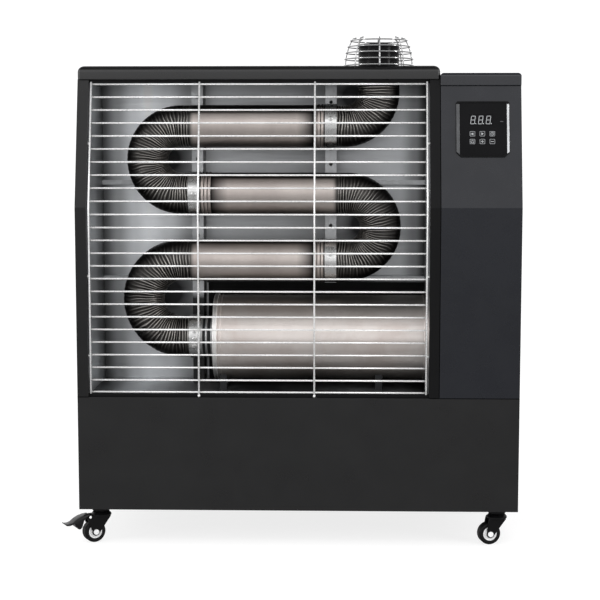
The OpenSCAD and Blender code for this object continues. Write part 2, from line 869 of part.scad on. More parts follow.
module guard_grille() {
    weld = 0.5;
    color("#f0f0ee") {
        for (i = [0 : guard_rows - 1]) {
            p = guard_at(i * guard_length / (guard_rows - 1), wire_d * 1.5 + 0.2 - weld);
            translate([guard_x[0] - wire_d / 3, p[0], p[1]]) rotate([0, 90, 0])
                cylinder(h = guard_x[3] - guard_x[0] + 2 * wire_d / 3, d = wire_d);
        }
        for (k = [0 : 3]) {
            // the inner wires run past the last cross wire and end in a ball
            tail = k == 0 || k == 3 ? 4 : 7;
            bend_r = 40;
            set_back = bend_r * tan(lean_deg / 2);
            translate([guard_x[k], front_y + wire_d / 2 + 0.2, guard_z0 - tail]) {
                rotate(90) bent_wire([
                    [guard_upright + tail - set_back, lean_deg, bend_r],
                    [guard_length - guard_upright - set_back + 4, 0, 0]
                ], wire_d);
                if (k == 1 || k == 2) {
                    sphere(r = wire_d * 0.8);
                }
            }
        }
        // pegs that hold the outer wires to the lips beside the opening
        for (z = [base_top + front_h * 0.22, base_top + front_h * 0.64, row1_z - 30]) {
            rod([open_x0, front_at(z) + wire_d + 1, z], [guard_x[0], front_at(z) + wire_d + 1, z], 4);
            rod([guard_x[3], front_at(z) + wire_d + 1, z], [open_x1, front_at(z) + wire_d + 1, z], 4);
        }
    }
}

// -------------------------------------------------------------- controls

// outline of the bezel, with chamfered lower corners
module bezel_outline(w, h, c) {
    polygon([
        [-w / 2 + c / 3, h / 2], [w / 2 - c / 3, h / 2], [w / 2, h / 2 - c / 3],
        [w / 2, -h / 2 + c], [w / 2 - c, -h / 2], [-w / 2 + c, -h / 2],
        [-w / 2, -h / 2 + c], [-w / 2, h / 2 - c / 3]
    ]);
}

// extrudes an XZ outline of the bezel between two depths, -Y being out
module slab(y0, y1) {
    translate([0, y1, 0]) rotate([90, 0, 0]) linear_extrude(y1 - y0) children();
}

glass_w = bezel_w - 9;
glass_h = bezel_h - 5;
display_w = 40;
display_h = 18;
display_at = [-2.6, 15.6];
// how far the bezel's box reaches in through the window
stub_d = 8;

// the display's place in the panel, between two depths and made smaller all round by a gap
module display_block(gap, y0, y1) {
    block([display_at[0] - display_w / 2 + gap, y0, display_at[1] - display_h / 2 + gap],
          [display_at[0] + display_w / 2 - gap, y1, display_at[1] + display_h / 2 - gap]);
}

module control_bezel() {
    color("#3b3c40") on_slope(bezel_x, bezel_z) difference() {
        union() {
            slab(-bezel_proud, 0) bezel_outline(bezel_w, bezel_h, 8);
            block([-window_w / 2 + 0.4, -0.5, -window_h / 2 + 0.4],
                  [window_w / 2 - 0.4, stub_d, window_h / 2 - 0.4]);
        }
        slab(-bezel_proud - 1, -0.5) bezel_outline(glass_w, glass_h, 6.5);
        block([-window_w / 2 + 3, -5, -window_h / 2 + 3], [window_w / 2 - 3, stub_d + 1, window_h / 2 - 3]);
    }
}

// the flat touch panel, with a clear window for the digits
module touch_panel() {
    color("#0b0b0d") on_slope(bezel_x, bezel_z) difference() {
        slab(-bezel_proud + 0.6, -0.5) bezel_outline(glass_w - 0.4, glass_h - 0.4, 6.3);
        display_block(0, -5, 1);
    }
}

// circuit board with the three-digit display that fills the panel's window
module display_board() {
    back = stub_d + 1.6;
    color("#1f5a3a") on_slope(bezel_x, bezel_z) {
        block([-window_w / 2 + 1, stub_d, -window_h / 2 + 1], [window_w / 2 - 1, back, window_h / 2 - 1]);
        display_block(0.3, -bezel_proud + 1, stub_d);
        for (x = [-1, 1], z = [-1, 1]) {
            translate([x * (window_w / 2 - 6), back, z * (window_h / 2 - 6)]) rotate([-90, 0, 0])
                cylinder(h = 4, r = 2.5);
        }
        // transformer and relay
        block([-20, back, -26], [4, back + 9, -8]);
        block([8, back, -22], [24, back + 6, -2]);
    }
}

// ---------------------------------------------------------------- burner

fan_x = (post_x + side_x) / 2 + 1;
fan_y = axis_y;
fan_w = 70;
motor_y0 = fan_y + fan_w / 2;
pump_y1 = fan_y - fan_w / 2;

// turns children so that +Z runs along +X, or along +Y
module along_x() { rotate([0, 90, 0]) children(); }
module along_y() { rotate([-90, 0, 0]) children(); }

tube_flange_t = 4;

// the nozzle's tube, flanged to the partition
module blast_tube() {
    color("#8c8f92") translate([post_x, fan_y, chamber_z]) along_x() difference() {
        union() {
            cylinder(h = tube_flange_t, r = tube_r + 14);
            translate([0, 0, -16]) cylinder(h = 16 + tube_flange_t, r = tube_r);
        }
        translate([0, 0, -17]) cylinder(h = 30, r = tube_r - 2.5);
        for (a = [45 : 90 : 315]) {
            translate((tube_r + 8) * [cos(a), sin(a), 0]) translate([0, 0, -1]) cylinder(h = 6, r = 3);
        }
    }
}

// a cylinder on the burner's shaft, between two distances from the fan's middle
module along_fan(y0, y1, r) {
    translate([fan_x, fan_y + y0, chamber_z]) along_y() cylinder(h = y1 - y0, r = r);
}

module burner_housing() {
    color("#a7abae") difference() {
        union() {
            along_fan(-fan_w / 2, fan_w / 2, fan_housing_r);
            along_pipe(post_x + tube_flange_t, fan_x - 20, chamber_z, fan_w / 2 - 1);
        }
        along_fan(-fan_w / 2 + 3, fan_w / 2 - 3, fan_housing_r - 3);
        along_pipe(post_x, fan_x - 20, chamber_z, fan_w / 2 - 4);
        along_fan(-fan_w, fan_w, shaft_r + 3);
        // air intake slots in the front plate
        for (a = [0 : 45 : 315]) {
            translate([fan_x, fan_y - fan_w / 2 - 1, chamber_z]) rotate([0, a, 0])
                block([32, 0, -4], [48, 5, 4]);
        }
    }
}

module burner_motor() {
    length = 78;
    color("#3d4044") translate([fan_x, motor_y0, chamber_z]) along_y() difference() {
        union() {
            cylinder(h = length, r = 40);
            cylinder(h = 8, r = 46);
            translate([0, 0, length - 12]) cylinder(h = 12, r = 43);
            for (a = [0 : 30 : 330]) {
                rotate(a) block([38, -1.2, 8], [43, 1.2, length - 12]);
            }
        }
        translate([0, 0, -1]) cylinder(h = length - 5, r = shaft_r + run_gap);
    }
}

module drive_shaft() {
    color("#c9ccd0") translate([fan_x, pump_y1 - 14, chamber_z]) along_y()
        cylinder(h = motor_y0 + 66 - pump_y1 + 14, r = shaft_r);
}

module fan_impeller() {
    r = fan_housing_r - 8;
    color("#8b8e91") translate([fan_x, fan_y - 24, chamber_z]) along_y() difference() {
        union() {
            cylinder(h = 46, r = shaft_r + 5);
            translate([0, 0, 22]) cylinder(h = 2, r = r);
            difference() {
                cylinder(h = 1.5, r = r);
                translate([0, 0, -1]) cylinder(h = 4, r = r - 12);
            }
            for (a = [0 : 20 : 340]) {
                rotate(a) translate([r - 6, 0, 0]) rotate(25) block([-5, -0.6, 0.5], [5, 0.6, 23]);
            }
        }
        translate([0, 0, -1]) cylinder(h = 50, r = shaft_r);
    }
}

// the oil pump with its magnet valve
module fuel_pump() {
    color("#b4b7ba") translate([fan_x, pump_y1, chamber_z]) rotate([90, 0, 0]) difference() {
        union() {
            cylinder(h = 6, r = 27);
            translate([0, 0, 4]) cylinder(h = 34, r = 22);
            translate([-12, 20, 10]) cube([24, 16, 22]);
            translate([0, 34, 21]) rotate([-90, 0, 0]) cylinder(h = 26, r = 10);
            translate([-34, 0, 21]) rotate([0, 90, 0]) cylinder(h = 14, r = 5);
        }
        translate([0, 0, -1]) cylinder(h = 16, r = shaft_r + run_gap);
    }
}

// it rides on the fan housing, its foot hollowed to fit
module ignition_transformer() {
    color("#22252a") translate([fan_x, fan_y, chamber_z]) difference() {
        union() {
            block([-32, -30, fan_housing_r - 12], [32, 30, fan_housing_r + 50]);
            for (x = [-14, 14]) {
                translate([x, 0, fan_housing_r + 49]) cylinder(h = 15, r = 7);
            }
        }
        translate([0, -fan_w, 0]) along_y() cylinder(h = 2 * fan_w, r = fan_housing_r);
    }
}

// ------------------------------------------------------------- fuel system

tank_x0 = -side_x + 40;

// plan of the tank with its corners cut at a slant
module tank_plan(inset) {
    x0 = tank_x0 + inset;
    x1 = tank_x0 + tank_w - inset;
    y0 = front_y + 35 + inset;
    y1 = rear_y - 25 - inset;
    c = 18;
    polygon([
        [x0 + c, y0], [x1 - c, y0], [x1, y0 + c], [x1, y1 - c],
        [x1 - c, y1], [x0 + c, y1], [x0, y1 - c], [x0, y0 + c]
    ]);
}

module fuel_tank() {
    z0 = tank_top - tank_h;
    color("#3a3d42") difference() {
        union() {
            translate([0, 0, z0]) linear_extrude(tank_h) tank_plan(0);
            translate([0, 0, z0 + tank_h / 2 - 1]) linear_extrude(2) tank_plan(-7);
            translate([cap_x, filler_y, tank_top - 1]) cylinder(h = 15, r = neck_r);
            for (x = [tank_x0 + 60, tank_x0 + tank_w - 60]) {
                block([x - 20, front_y + 60, base_z + 2 * sheet_t], [x + 20, rear_y - 60, z0 + 1]);
            }
        }
        translate([0, 0, z0 + 1.5]) linear_extrude(tank_h - 3) tank_plan(1.5);
        translate([cap_x, filler_y, tank_top - 5]) cylinder(h = 30, r = neck_r - 2);
        translate([gauge_x, filler_y, tank_top - 5]) cylinder(h = 10, r = 8);
    }
}

// the pocket over the filler: floor, roof, back and two sides
module filler_recess() {
    t = sheet_t;
    color("#1c1c1e") difference() {
        block([pocket_x0 - t, rear_y - t - pocket_d, pocket_z0 - t],
              [pocket_x1 + t, rear_y - t, pocket_z1 + t]);
        block([pocket_x0, rear_y - pocket_d, pocket_z0], [pocket_x1, rear_y + 1, pocket_z1]);
        translate([cap_x, filler_y, pocket_z0 - 9]) cylinder(h = 20, r = neck_r + 1);
        translate([gauge_x, filler_y, pocket_z0 - 9]) cylinder(h = 20, r = 13);
    }
}

module fuel_gauge() {
    color("#d8d4c4") translate([gauge_x, filler_y, tank_top]) {
        cylinder(h = 12, r = 12);
        translate([0, 0, -30]) cylinder(h = 31, r = 3);
        translate([0, 0, 11]) cylinder(h = 4, r = 10);
    }
}

// the cap: knurled rim over the neck, turned by hand
module fuel_cap() {
    color("#121214") translate([cap_x, filler_y, tank_top + 5]) difference() {
        union() {
            cylinder(h = 16, r = cap_r - 1.5);
            translate([0, 0, 13]) cylinder(h = 4, r = cap_r - 4);
            for (a = [0 : 15 : 345]) {
                rotate(a) translate([cap_r - 2, 0, 0]) cylinder(h = 15, r = 2, $fn = 16);
            }
        }
        translate([0, 0, -1]) cylinder(h = 10 + run_gap, r = neck_r + run_gap);
    }
}

line_d = 6;
line_y = front_y + 70;
pump_port = [fan_x - 34, pump_y1 - 21, chamber_z];

// copper line: tank outlet, riser with the filter, and the pump's inlet
module fuel_line() {
    filter_h = 40;
    x0 = tank_x0 + tank_w - 50;
    x1 = pump_port[0] - 21;
    z1 = tank_top + 16;
    z2 = chamber_z - 40;
    route = [
        [x0, line_y, tank_top], [x0, line_y, z1], [x1, line_y, z1], [x1, line_y, z2],
        [x1, pump_port[1], z2], [x1, pump_port[1], pump_port[2]], pump_port
    ];
    color("#b8794a") {
        for (i = [0 : len(route) - 2]) {
            rod(route[i], route[i + 1], line_d);
        }
        for (i = [1 : len(route) - 2]) {
            translate(route[i]) sphere(r = line_d * 0.75);
        }
        // the fitting on the tank, and the filter in the riser
        translate([x0, line_y, tank_top]) cylinder(h = 7, r = 8, $fn = 6);
        translate([x1, line_y, z1 + 16]) cylinder(h = filter_h, r = 2 * line_d);
        translate([x1, line_y, z1 + 10 + filter_h]) cylinder(h = 10, r = 1.5 * line_d, $fn = 6);
    }
}

// mains inlet with three pins, set in the rear of the base
module power_inlet() {
    color("#101012") translate([inlet_x, rear_y, inlet_z]) {
        difference() {
            union() {
                block([-22, 0, -16], [22, 2.5, 16]);
                block([-15.5, -18, -11.5], [15.5, 0.5, 11.5]);
            }
            block([-12, -15, -8], [12, 4, 8]);
        }
        for (x = [-7, 0, 7]) {
            block([x - 1, -16, x == 0 ? 0 : -4], [x + 1, -3, x == 0 ? 5 : 1]);
        }
    }
}

// ---------------------------------------------------------------- casters

caster_x = side_x - caster_inset_x;
caster_y = body_d / 2 - caster_inset_y;
// each caster: [x, y, the way it trails in degrees from +X]
front_left = [-caster_x, -caster_y, 210];
front_right = [caster_x, -caster_y, 192];
rear_left = [-caster_x, caster_y, 168];
rear_right = [caster_x, caster_y, 30];
all_casters = [front_left, front_right, rear_left, rear_right];

crown_z = caster_h - 15;
race_z = crown_z + 5.7;
kingpin_r = 4;
axle_r = 3;
cheek_y = wheel_w / 2 + 1;
cheek_t = 1.8;
pedal_pin = [24, crown_z - 1];

module at_caster(c) {
    translate([c[0], c[1], 0]) rotate(c[2]) children();
}

// the mounting plates with their raceways and kingpins
module caster_plates() {
    color("#1b1b1c") for (c = all_casters) {
        translate([c[0], c[1], 0]) {
            difference() {
                block([-24, -20, base_z - 2.5], [24, 20, base_z]);
                for (x = [-18, 18], y = [-14, 14]) {
                    translate([x, y, base_z - 5]) cylinder(h = 10, r = 2.6);
                }
            }
            translate([0, 0, race_z]) rotate_extrude() polygon([
                [0, 0], [13, 0], [15.5, 2.5], [15.5, base_z - 2 - race_z], [0, base_z - 2 - race_z]]);
            translate([0, 0, crown_z - 3]) cylinder(h = race_z - crown_z + 4, r = kingpin_r);
            translate([0, 0, crown_z - 4.5]) cylinder(h = 3, r = kingpin_r + 2.5);
        }
    }
}

// XZ outline of a cheek, from the crown down to the axle's boss
module cheek_outline(braked) {
    polygon([
        [-13, crown_z + 1], [braked ? pedal_pin[0] + 3 : 15, crown_z + 1],
        [braked ? pedal_pin[0] + 5 : 17, crown_z - 4], [caster_trail + 6.4, wheel_r + 2],
        [caster_trail - 5, wheel_r - 4], [-13, crown_z - 3]
    ]);
}

module fork(c, braked) {
    color("#1b1b1c") at_caster(c) {
        difference() {
            union() {
                translate([0, 0, crown_z - 1]) rotate_extrude() polygon([
                    [0, 0], [17.5, 0], [17.5, 2], [14, race_z - crown_z + 0.6], [0, race_z - crown_z + 0.6]]);
                for (s = [-1, 1]) {
                    translate([0, s * (cheek_y + cheek_t / 2) + cheek_t / 2, 0]) rotate([90, 0, 0])
                        linear_extrude(cheek_t) cheek_outline(braked);
                    translate([caster_trail, s * (cheek_y + cheek_t / 2), wheel_r]) rotate([90, 0, 0])
                        cylinder(h = cheek_t, r = 6.8, center = true);
                }
            }
            translate([0, 0, crown_z - 5]) cylinder(h = 20, r = kingpin_r + run_gap);
        }
        // the riveted axle, with its heads
        translate([caster_trail, 0, wheel_r]) rotate([90, 0, 0]) {
            cylinder(h = 2 * (cheek_y + cheek_t) + 3, r = axle_r, center = true);
            for (s = [-1, 1]) {
                translate([0, 0, s * (cheek_y + cheek_t + 0.9)]) cylinder(h = 1.8, r = 4.4, center = true);
            }
        }
        if (braked) {
            translate([pedal_pin[0], 0, pedal_pin[1]]) rotate([90, 0, 0])
                cylinder(h = 2 * (cheek_y + cheek_t) + 1, r = 2, center = true);
        }
    }
}

module fork_front_left() { fork(front_left, true); }
module fork_front_right() { fork(front_right, false); }
module fork_rear_left() { fork(rear_left, false); }
module fork_rear_right() { fork(rear_right, true); }

// hub and tyre in one moulding, with rounded shoulders and a dished face
module wheel(c) {
    h = wheel_w / 2;
    color("#202022") at_caster(c) translate([caster_trail, 0, wheel_r]) rotate([90, 0, 0])
    rotate_extrude() difference() {
        translate([axle_r + run_gap, -h]) square([wheel_r - axle_r - run_gap, 2 * h]);
        for (s = [-1, 1]) {
            // shoulder
            translate([wheel_r, s * h]) mirror([1, 0]) mirror([0, s > 0 ? 1 : 0]) difference() {
                translate([-1, -1]) square([4, 4]);
                translate([3, 3]) circle(r = 3);
            }
            // dish between the hub and the tyre
            translate([6, s > 0 ? h - 1.6 : -h - 1]) square([6.5, 2.6]);
        }
    }
}

module wheel_front_left() { wheel(front_left); }
module wheel_front_right() { wheel(front_right); }
module wheel_rear_left() { wheel(rear_left); }
module wheel_rear_right() { wheel(rear_right); }

// brake pedal: a bent plate with a lobe that presses on the tread
module pedal(c) {
    u = pedal_pin[0];
    z = pedal_pin[1];
    w = wheel_w / 2 + 0.4;
    color("#2a2a2c") at_caster(c) difference() {
        union() {
            translate([u, 0, z]) rotate([90, 0, 0]) cylinder(h = 2 * w, r = 4.2, center = true);
            translate([0, w, 0]) rotate([90, 0, 0]) linear_extrude(2 * w) polygon([
                [u - 2, z + 1], [u - 1, z + 4], [u + 8, z + 3.5], [u + 26, z - 2], [pedal_reach, z - 9],
                [pedal_reach - 1, z - 12], [u + 27, z - 6], [u + 23, z - 17], [u + 17, z - 20],
                [u + 14, z - 16], [u + 10, z - 4], [u + 2, z - 3]
            ]);
        }
        translate([u, 0, z]) rotate([90, 0, 0]) cylinder(h = 40, r = 2 + run_gap, center = true);
    }
}

module pedal_front_left() { pedal(front_left); }
module pedal_rear_right() { pedal(rear_right); }

base_front();
base_left();
base_right();
base_rear();
base_floor();
left_panel();
right_panel();
centre_post();
partition();
column_front();
rear_panel();
rear_door();
top_lid();
column_cap();
reflector_back();
reflector_sides();
reflector_top();
reflector_floor();
opening_frame();
heat_shield();
tie_bars();
pipe_supports();
combustion_chamber();
chamber_saddles();
pipe_flue_elbow();
pipe_upper_return();
pipe_right_return();
pipe_lower_return();
pipe_clamps();
screws();
flue_outlet();
flue_cage();
guard_grille();
control_bezel();
touch_panel();
display_board();
blast_tube();
burner_housing();
burner_motor();
fan_impeller();
drive_shaft();
fuel_pump();
ignition_transformer();
fuel_tank();
fuel_line();
filler_recess();
fuel_gauge();
fuel_cap();
power_inlet();
caster_plates();
fork_front_left();
fork_front_right();
fork_rear_left();
fork_rear_right();
wheel_front_left();
wheel_front_right();
wheel_rear_left();
wheel_rear_right();
pedal_front_left();
pedal_rear_right();
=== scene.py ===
import bpy, bmesh, json, math
from mathutils import Matrix, Vector, noise


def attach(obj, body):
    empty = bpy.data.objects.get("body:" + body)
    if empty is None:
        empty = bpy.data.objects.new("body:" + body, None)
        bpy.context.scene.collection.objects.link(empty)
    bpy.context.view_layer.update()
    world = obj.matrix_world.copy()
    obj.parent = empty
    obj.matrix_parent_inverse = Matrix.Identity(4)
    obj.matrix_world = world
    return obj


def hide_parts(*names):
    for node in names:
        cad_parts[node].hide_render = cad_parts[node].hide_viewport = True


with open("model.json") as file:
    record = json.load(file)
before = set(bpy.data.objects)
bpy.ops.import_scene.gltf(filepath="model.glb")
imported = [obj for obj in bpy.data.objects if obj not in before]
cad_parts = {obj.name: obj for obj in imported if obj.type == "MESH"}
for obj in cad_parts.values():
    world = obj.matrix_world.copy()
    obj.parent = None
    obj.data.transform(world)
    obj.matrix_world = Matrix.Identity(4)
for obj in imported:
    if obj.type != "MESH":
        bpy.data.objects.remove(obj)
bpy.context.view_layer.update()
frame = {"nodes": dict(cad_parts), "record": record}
nodes = frame["nodes"]
scene = bpy.context.scene
MM = 0.001

# ---------------------------------------------------------------- node helpers


def add(nt, kind, **props):
    n = nt.nodes.new(kind)
    for k, v in props.items():
        if k in n.inputs:
            n.inputs[k].default_value = v
        else:
            setattr(n, k, v)
    return n


def link(nt, a, b):
    nt.links.new(a, b)


def coords(nt, scale=(1, 1, 1)):
    t = add(nt, "ShaderNodeTexCoord")
    m = add(nt, "ShaderNodeMapping")
    m.inputs["Scale"].default_value = scale
    link(nt, t.outputs["Object"], m.inputs["Vector"])
    return m.outputs["Vector"]


def noise_fac(nt, vec, scale, detail=3.0, rough=0.55, distortion=0.0):
    n = add(nt, "ShaderNodeTexNoise", Scale=scale, Detail=detail, Roughness=rough, Distortion=distortion)
    link(nt, vec, n.inputs["Vector"])
    return n.outputs["Fac"]


def remap(nt, fac, lo, hi, to_lo, to_hi):
    n = add(nt, "ShaderNodeMapRange")
    for k, v in (("From Min", lo), ("From Max", hi), ("To Min", to_lo), ("To Max", to_hi)):
        n.inputs[k].default_value = v
    link(nt, fac, n.inputs["Value"])
    return n.outputs["Result"]


def math_node(nt, op, a, b):
    n = add(nt, "ShaderNodeMath", operation=op)
    for i, v in enumerate((a, b)):
        if isinstance(v, (int, float)):
            n.inputs[i].default_value = v
        else:
            link(nt, v, n.inputs[i])
    return n.outputs[0]


def mix(nt, fac, a, b, mode="MIX"):
    n = add(nt, "ShaderNodeMix", data_type="RGBA", blend_type=mode)
    for sock, v in ((n.inputs[0], fac), (n.inputs[6], a), (n.inputs[7], b)):
        if isinstance(v, (int, float)):
            sock.default_value = v
        elif isinstance(v, (tuple, list)):
            sock.default_value = tuple(v) + (1,) if len(v) == 3 else v
        else:
            link(nt, v, sock)
    return n.outputs[2]


def bump(nt, height, strength, distance, normal=None):
    n = add(nt, "ShaderNodeBump", Strength=strength, Distance=distance)
    link(nt, height, n.inputs["Height"])
    if normal is not None:
        link(nt, normal, n.inputs["Normal"])
    return n.outputs["Normal"]


def bevel(nt, radius):
    return add(nt, "ShaderNodeBevel", samples=4, Radius=radius).outputs["Normal"]


def edge_mask(nt, radius):
    """1 on sharp edges, 0 on flats: how far the rounded normal leans from the true one."""
    b = add(nt, "ShaderNodeBevel", samples=4, Radius=radius)
    g = add(nt, "ShaderNodeNewGeometry")
    d = add(nt, "ShaderNodeVectorMath", operation="DOT_PRODUCT")
    link(nt, b.outputs["Normal"], d.inputs[0])
    link(nt, g.outputs["Normal"], d.inputs[1])
    return remap(nt, d.outputs["Value"], 0.995, 0.80, 0.0, 1.0)


def material(name, color, metallic=0.0, rough=0.5, spec=0.5, aniso=0.0):
    m = bpy.data.materials.new(name)
    m.use_nodes = True
    nt = m.node_tree
    b = nt.nodes["Principled BSDF"]
    b.inputs["Base Color"].default_value = tuple(color) + (1,)
    for key, v in (("Metallic", metallic), ("Roughness", rough), ("Specular IOR Level", spec), ("Anisotropic", aniso)):
        b.inputs[key].default_value = v
    return m, nt, b


def base_of(m):
    """A material's node tree, its shader, and the socket that feeds its base colour."""
    nt = m.node_tree
    b = nt.nodes["Principled BSDF"]
    return nt, b, b.inputs["Base Color"].links[0].from_socket


def split_xyz(nt, vec):
    n = add(nt, "ShaderNodeSeparateXYZ")
    link(nt, vec, n.inputs[0])
    return n.outputs


def normal_xyz(nt):
    return split_xyz(nt, add(nt, "ShaderNodeNewGeometry").outputs["Normal"])


def facing(nt, along, lo, hi, most):
    """How squarely a face looks along an axis, either way, remapped to 0..most."""
    return remap(nt, math_node(nt, "ABSOLUTE", along, 0.0), lo, hi, 0.0, most)


def grey_ramp(nt, fac, levels, blue=1.0):
    """A ramp through (place, brightness) stops; the first sits at 0 and the last at 1."""
    n = add(nt, "ShaderNodeValToRGB")
    link(nt, fac, n.inputs["Fac"])
    stops = n.color_ramp.elements
    for k, (at, level) in enumerate(levels):
        stop = stops[0] if k == 0 else stops[-1] if k == len(levels) - 1 else stops.new(at)
        stop.color = (level, level, level * blue, 1)
    return n


def lighter(c, k):
    return tuple(min(1.0, v * k) for v in c)


# ------------------------------------------------------------------- materials


def powder_coat(name, color, rough=0.42, spec=0.35, edge_paling_share=0.35):
    """Fine textured powder coat, a little paler in patches along its sharp edges."""
    m, nt, b = material(name, color, rough=rough, spec=spec)
    v = coords(nt)
    cloud = noise_fac(nt, v, 6.0, 4.0)
    grain = noise_fac(nt, v, 1400.0, 2.0)
    col = mix(nt, remap(nt, cloud, 0.3, 0.7, 0.0, 1.0), lighter(color, 0.9), lighter(color, 1.1))
    patchy = remap(nt, noise_fac(nt, v, 60.0, 4.0), 0.4, 0.65, 0.15, 1.0)
    edge_paling = math_node(nt, "MULTIPLY", edge_mask(nt, 0.0011), patchy)
    col = mix(nt, math_node(nt, "MULTIPLY", edge_paling, edge_paling_share), col, (0.05, 0.05, 0.052))
    link(nt, col, b.inputs["Base Color"])
    link(nt, remap(nt, noise_fac(nt, v, 22.0, 5.0), 0.3, 0.7, rough - 0.04, rough + 0.06), b.inputs["Roughness"])
    link(nt, bump(nt, grain, 0.12, 0.00025, bevel(nt, 0.0009)), b.inputs["Normal"])
    return m


def sheet_metal(name, color, rough, brush, spangle=0.0, tint=None, line=0.05, aniso=0.3):
    """Rolled or brushed sheet: fine lines along one way, with clouding and optional zinc spangle."""
    m, nt, b = material(name, color, metallic=1.0, rough=rough, aniso=aniso)
    v = coords(nt)
    lines = noise_fac(nt, coords(nt, brush), 1.0, 5.0, 0.7)
    cloud = noise_fac(nt, v, 9.0, 4.0)
    col = mix(nt, remap(nt, cloud, 0.3, 0.7, 0, 1), lighter(color, 0.92), lighter(color, 1.06))
    if tint:
        col = mix(nt, remap(nt, noise_fac(nt, v, 14.0, 5.0, 0.6, 0.8), 0.42, 0.66, 0.0, 0.75), col, tint)
    if spangle:
        cell = add(nt, "ShaderNodeTexVoronoi", Scale=95.0, Randomness=1.0)
        link(nt, v, cell.inputs["Vector"])
        grey = add(nt, "ShaderNodeRGBToBW")
        link(nt, cell.outputs["Color"], grey.inputs["Color"])
        col = mix(nt, math_node(nt, "MULTIPLY", grey.outputs["Val"], spangle), col, lighter(color, 0.6))
    link(nt, col, b.inputs["Base Color"])
    r = remap(nt, lines, 0.25, 0.75, rough - 0.08, rough + 0.1)
    link(nt, r, b.inputs["Roughness"])
    link(nt, bump(nt, lines, line, 0.0004, bevel(nt, 0.0006)), b.inputs["Normal"])
    return m


def heated_pipe():
    """Brushed stainless: clean and warm on the straights, bronzed in the pleats, with a painted highlight along each
    crease, and painted shade in the folds, in the bead grooves, on the bends' outer limbs and along the tops and
    undersides.
    """
    m, nt, b = material("heated_stainless", (0.5, 0.45, 0.42), metallic=1.0, rough=0.36, aniso=0.2)
    v = coords(nt)
    rings = noise_fac(nt, coords(nt, (900.0, 14.0, 14.0)), 1.0, 4.0, 0.65)
    cloud = noise_fac(nt, coords(nt, (14.0, 10.0, 7.0)), 1.0, 5.0, 0.6)
    clean = mix(nt, remap(nt, cloud, 0.3, 0.72, 0, 1), (0.56, 0.50, 0.47), (0.70, 0.64, 0.60))
    pleat, crest, outer = (add(nt, "ShaderNodeAttribute", attribute_name=key, attribute_type="GEOMETRY").outputs["Fac"]
                           for key in ("pleat", "crest", "outer"))
    # the crest attribute runs from 0 in a fold's painted shadow through a third on its flank to 1 on the painted
    # highlight along its crease
    flank = mix(nt, remap(nt, noise_fac(nt, v, 40.0, 4.0), 0.3, 0.7, 0, 1), (0.085, 0.081, 0.076), (0.16, 0.153, 0.145))
    fold = mix(nt, remap(nt, crest, 0.0, 0.33, 0.0, 1.0), (0.010, 0.009, 0.009), flank)
    fold = mix(nt, remap(nt, crest, 0.40, 1.0, 0.0, 1.0), fold, (0.93, 0.89, 0.84))
    # painted shade on the outer limb of each bend
    fold = mix(nt, outer, fold, (0.022, 0.020, 0.019))
    # painted shade along the top and the underside
    up = normal_xyz(nt)["Z"]
    clean = mix(nt, facing(nt, up, 0.55, 1.0, 0.8), clean, (0.12, 0.10, 0.09))
    # painted shade reaches further down the backs of the upper rows
    start = remap(nt, split_xyz(nt, v)["Z"], 0.484, 0.716, 0.86, 0.60)
    over = math_node(nt, "SUBTRACT", up, start)
    clean = mix(nt, remap(nt, over, -0.05, 0.07, 0.0, 0.93), clean, (0.006, 0.006, 0.006))
    link(nt, mix(nt, pleat, clean, fold), b.inputs["Base Color"])
    r = math_node(nt, "ADD", remap(nt, rings, 0.25, 0.75, 0.42, 0.56), math_node(nt, "MULTIPLY", pleat, -0.06))
    link(nt, r, b.inputs["Roughness"])
    link(nt, bump(nt, rings, 0.10, 0.0004), b.inputs["Normal"])
    return m


def moulded(name, color, rough=0.5, grain_scale=900.0, grain=0.15, spec=0.4):
    m, nt, b = material(name, color, rough=rough, spec=spec)
    v = coords(nt)
    col = mix(nt, remap(nt, noise_fac(nt, v, 30.0, 4.0), 0.3, 0.7, 0, 1), lighter(color, 0.85), lighter(color, 1.2))
    link(nt, col, b.inputs["Base Color"])
    link(nt, remap(nt, noise_fac(nt, v, 80.0, 3.0), 0.3, 0.7, rough - 0.06, rough + 0.06), b.inputs["Roughness"])
    link(nt, bump(nt, noise_fac(nt, v, grain_scale, 2.0), grain, 0.0002, bevel(nt, 0.0004)), b.inputs["Normal"])
    return m


def glossy(name, color, rough=0.12, spec=0.5):
    m, nt, b = material(name, color, rough=rough, spec=spec)
    v = coords(nt)
    link(nt, remap(nt, noise_fac(nt, v, 45.0, 5.0), 0.3, 0.7, rough * 0.7, rough * 1.6), b.inputs["Roughness"])
    link(nt, mix(nt, remap(nt, noise_fac(nt, v, 12.0), 0.3, 0.7, 0, 1), lighter(color, 0.8), lighter(color, 1.2)),
         b.inputs["Base Color"])
    link(nt, bevel(nt, 0.0004), b.inputs["Normal"])
    return m


def cast_metal(name, color, rough=0.45, metallic=1.0):
    m, nt, b = material(name, color, metallic=metallic, rough=rough)
    v = coords(nt)
    grit = noise_fac(nt, v, 700.0, 4.0)
    col = mix(nt, remap(nt, noise_fac(nt, v, 18.0, 5.0), 0.3, 0.7, 0, 1), lighter(color, 0.8), lighter(color, 1.1))
    link(nt, col, b.inputs["Base Color"])
    link(nt, remap(nt, grit, 0.3, 0.7, rough - 0.08, rough + 0.12), b.inputs["Roughness"])
    link(nt, bump(nt, grit, 0.25, 0.0004, bevel(nt, 0.0008)), b.inputs["Normal"])
    return m


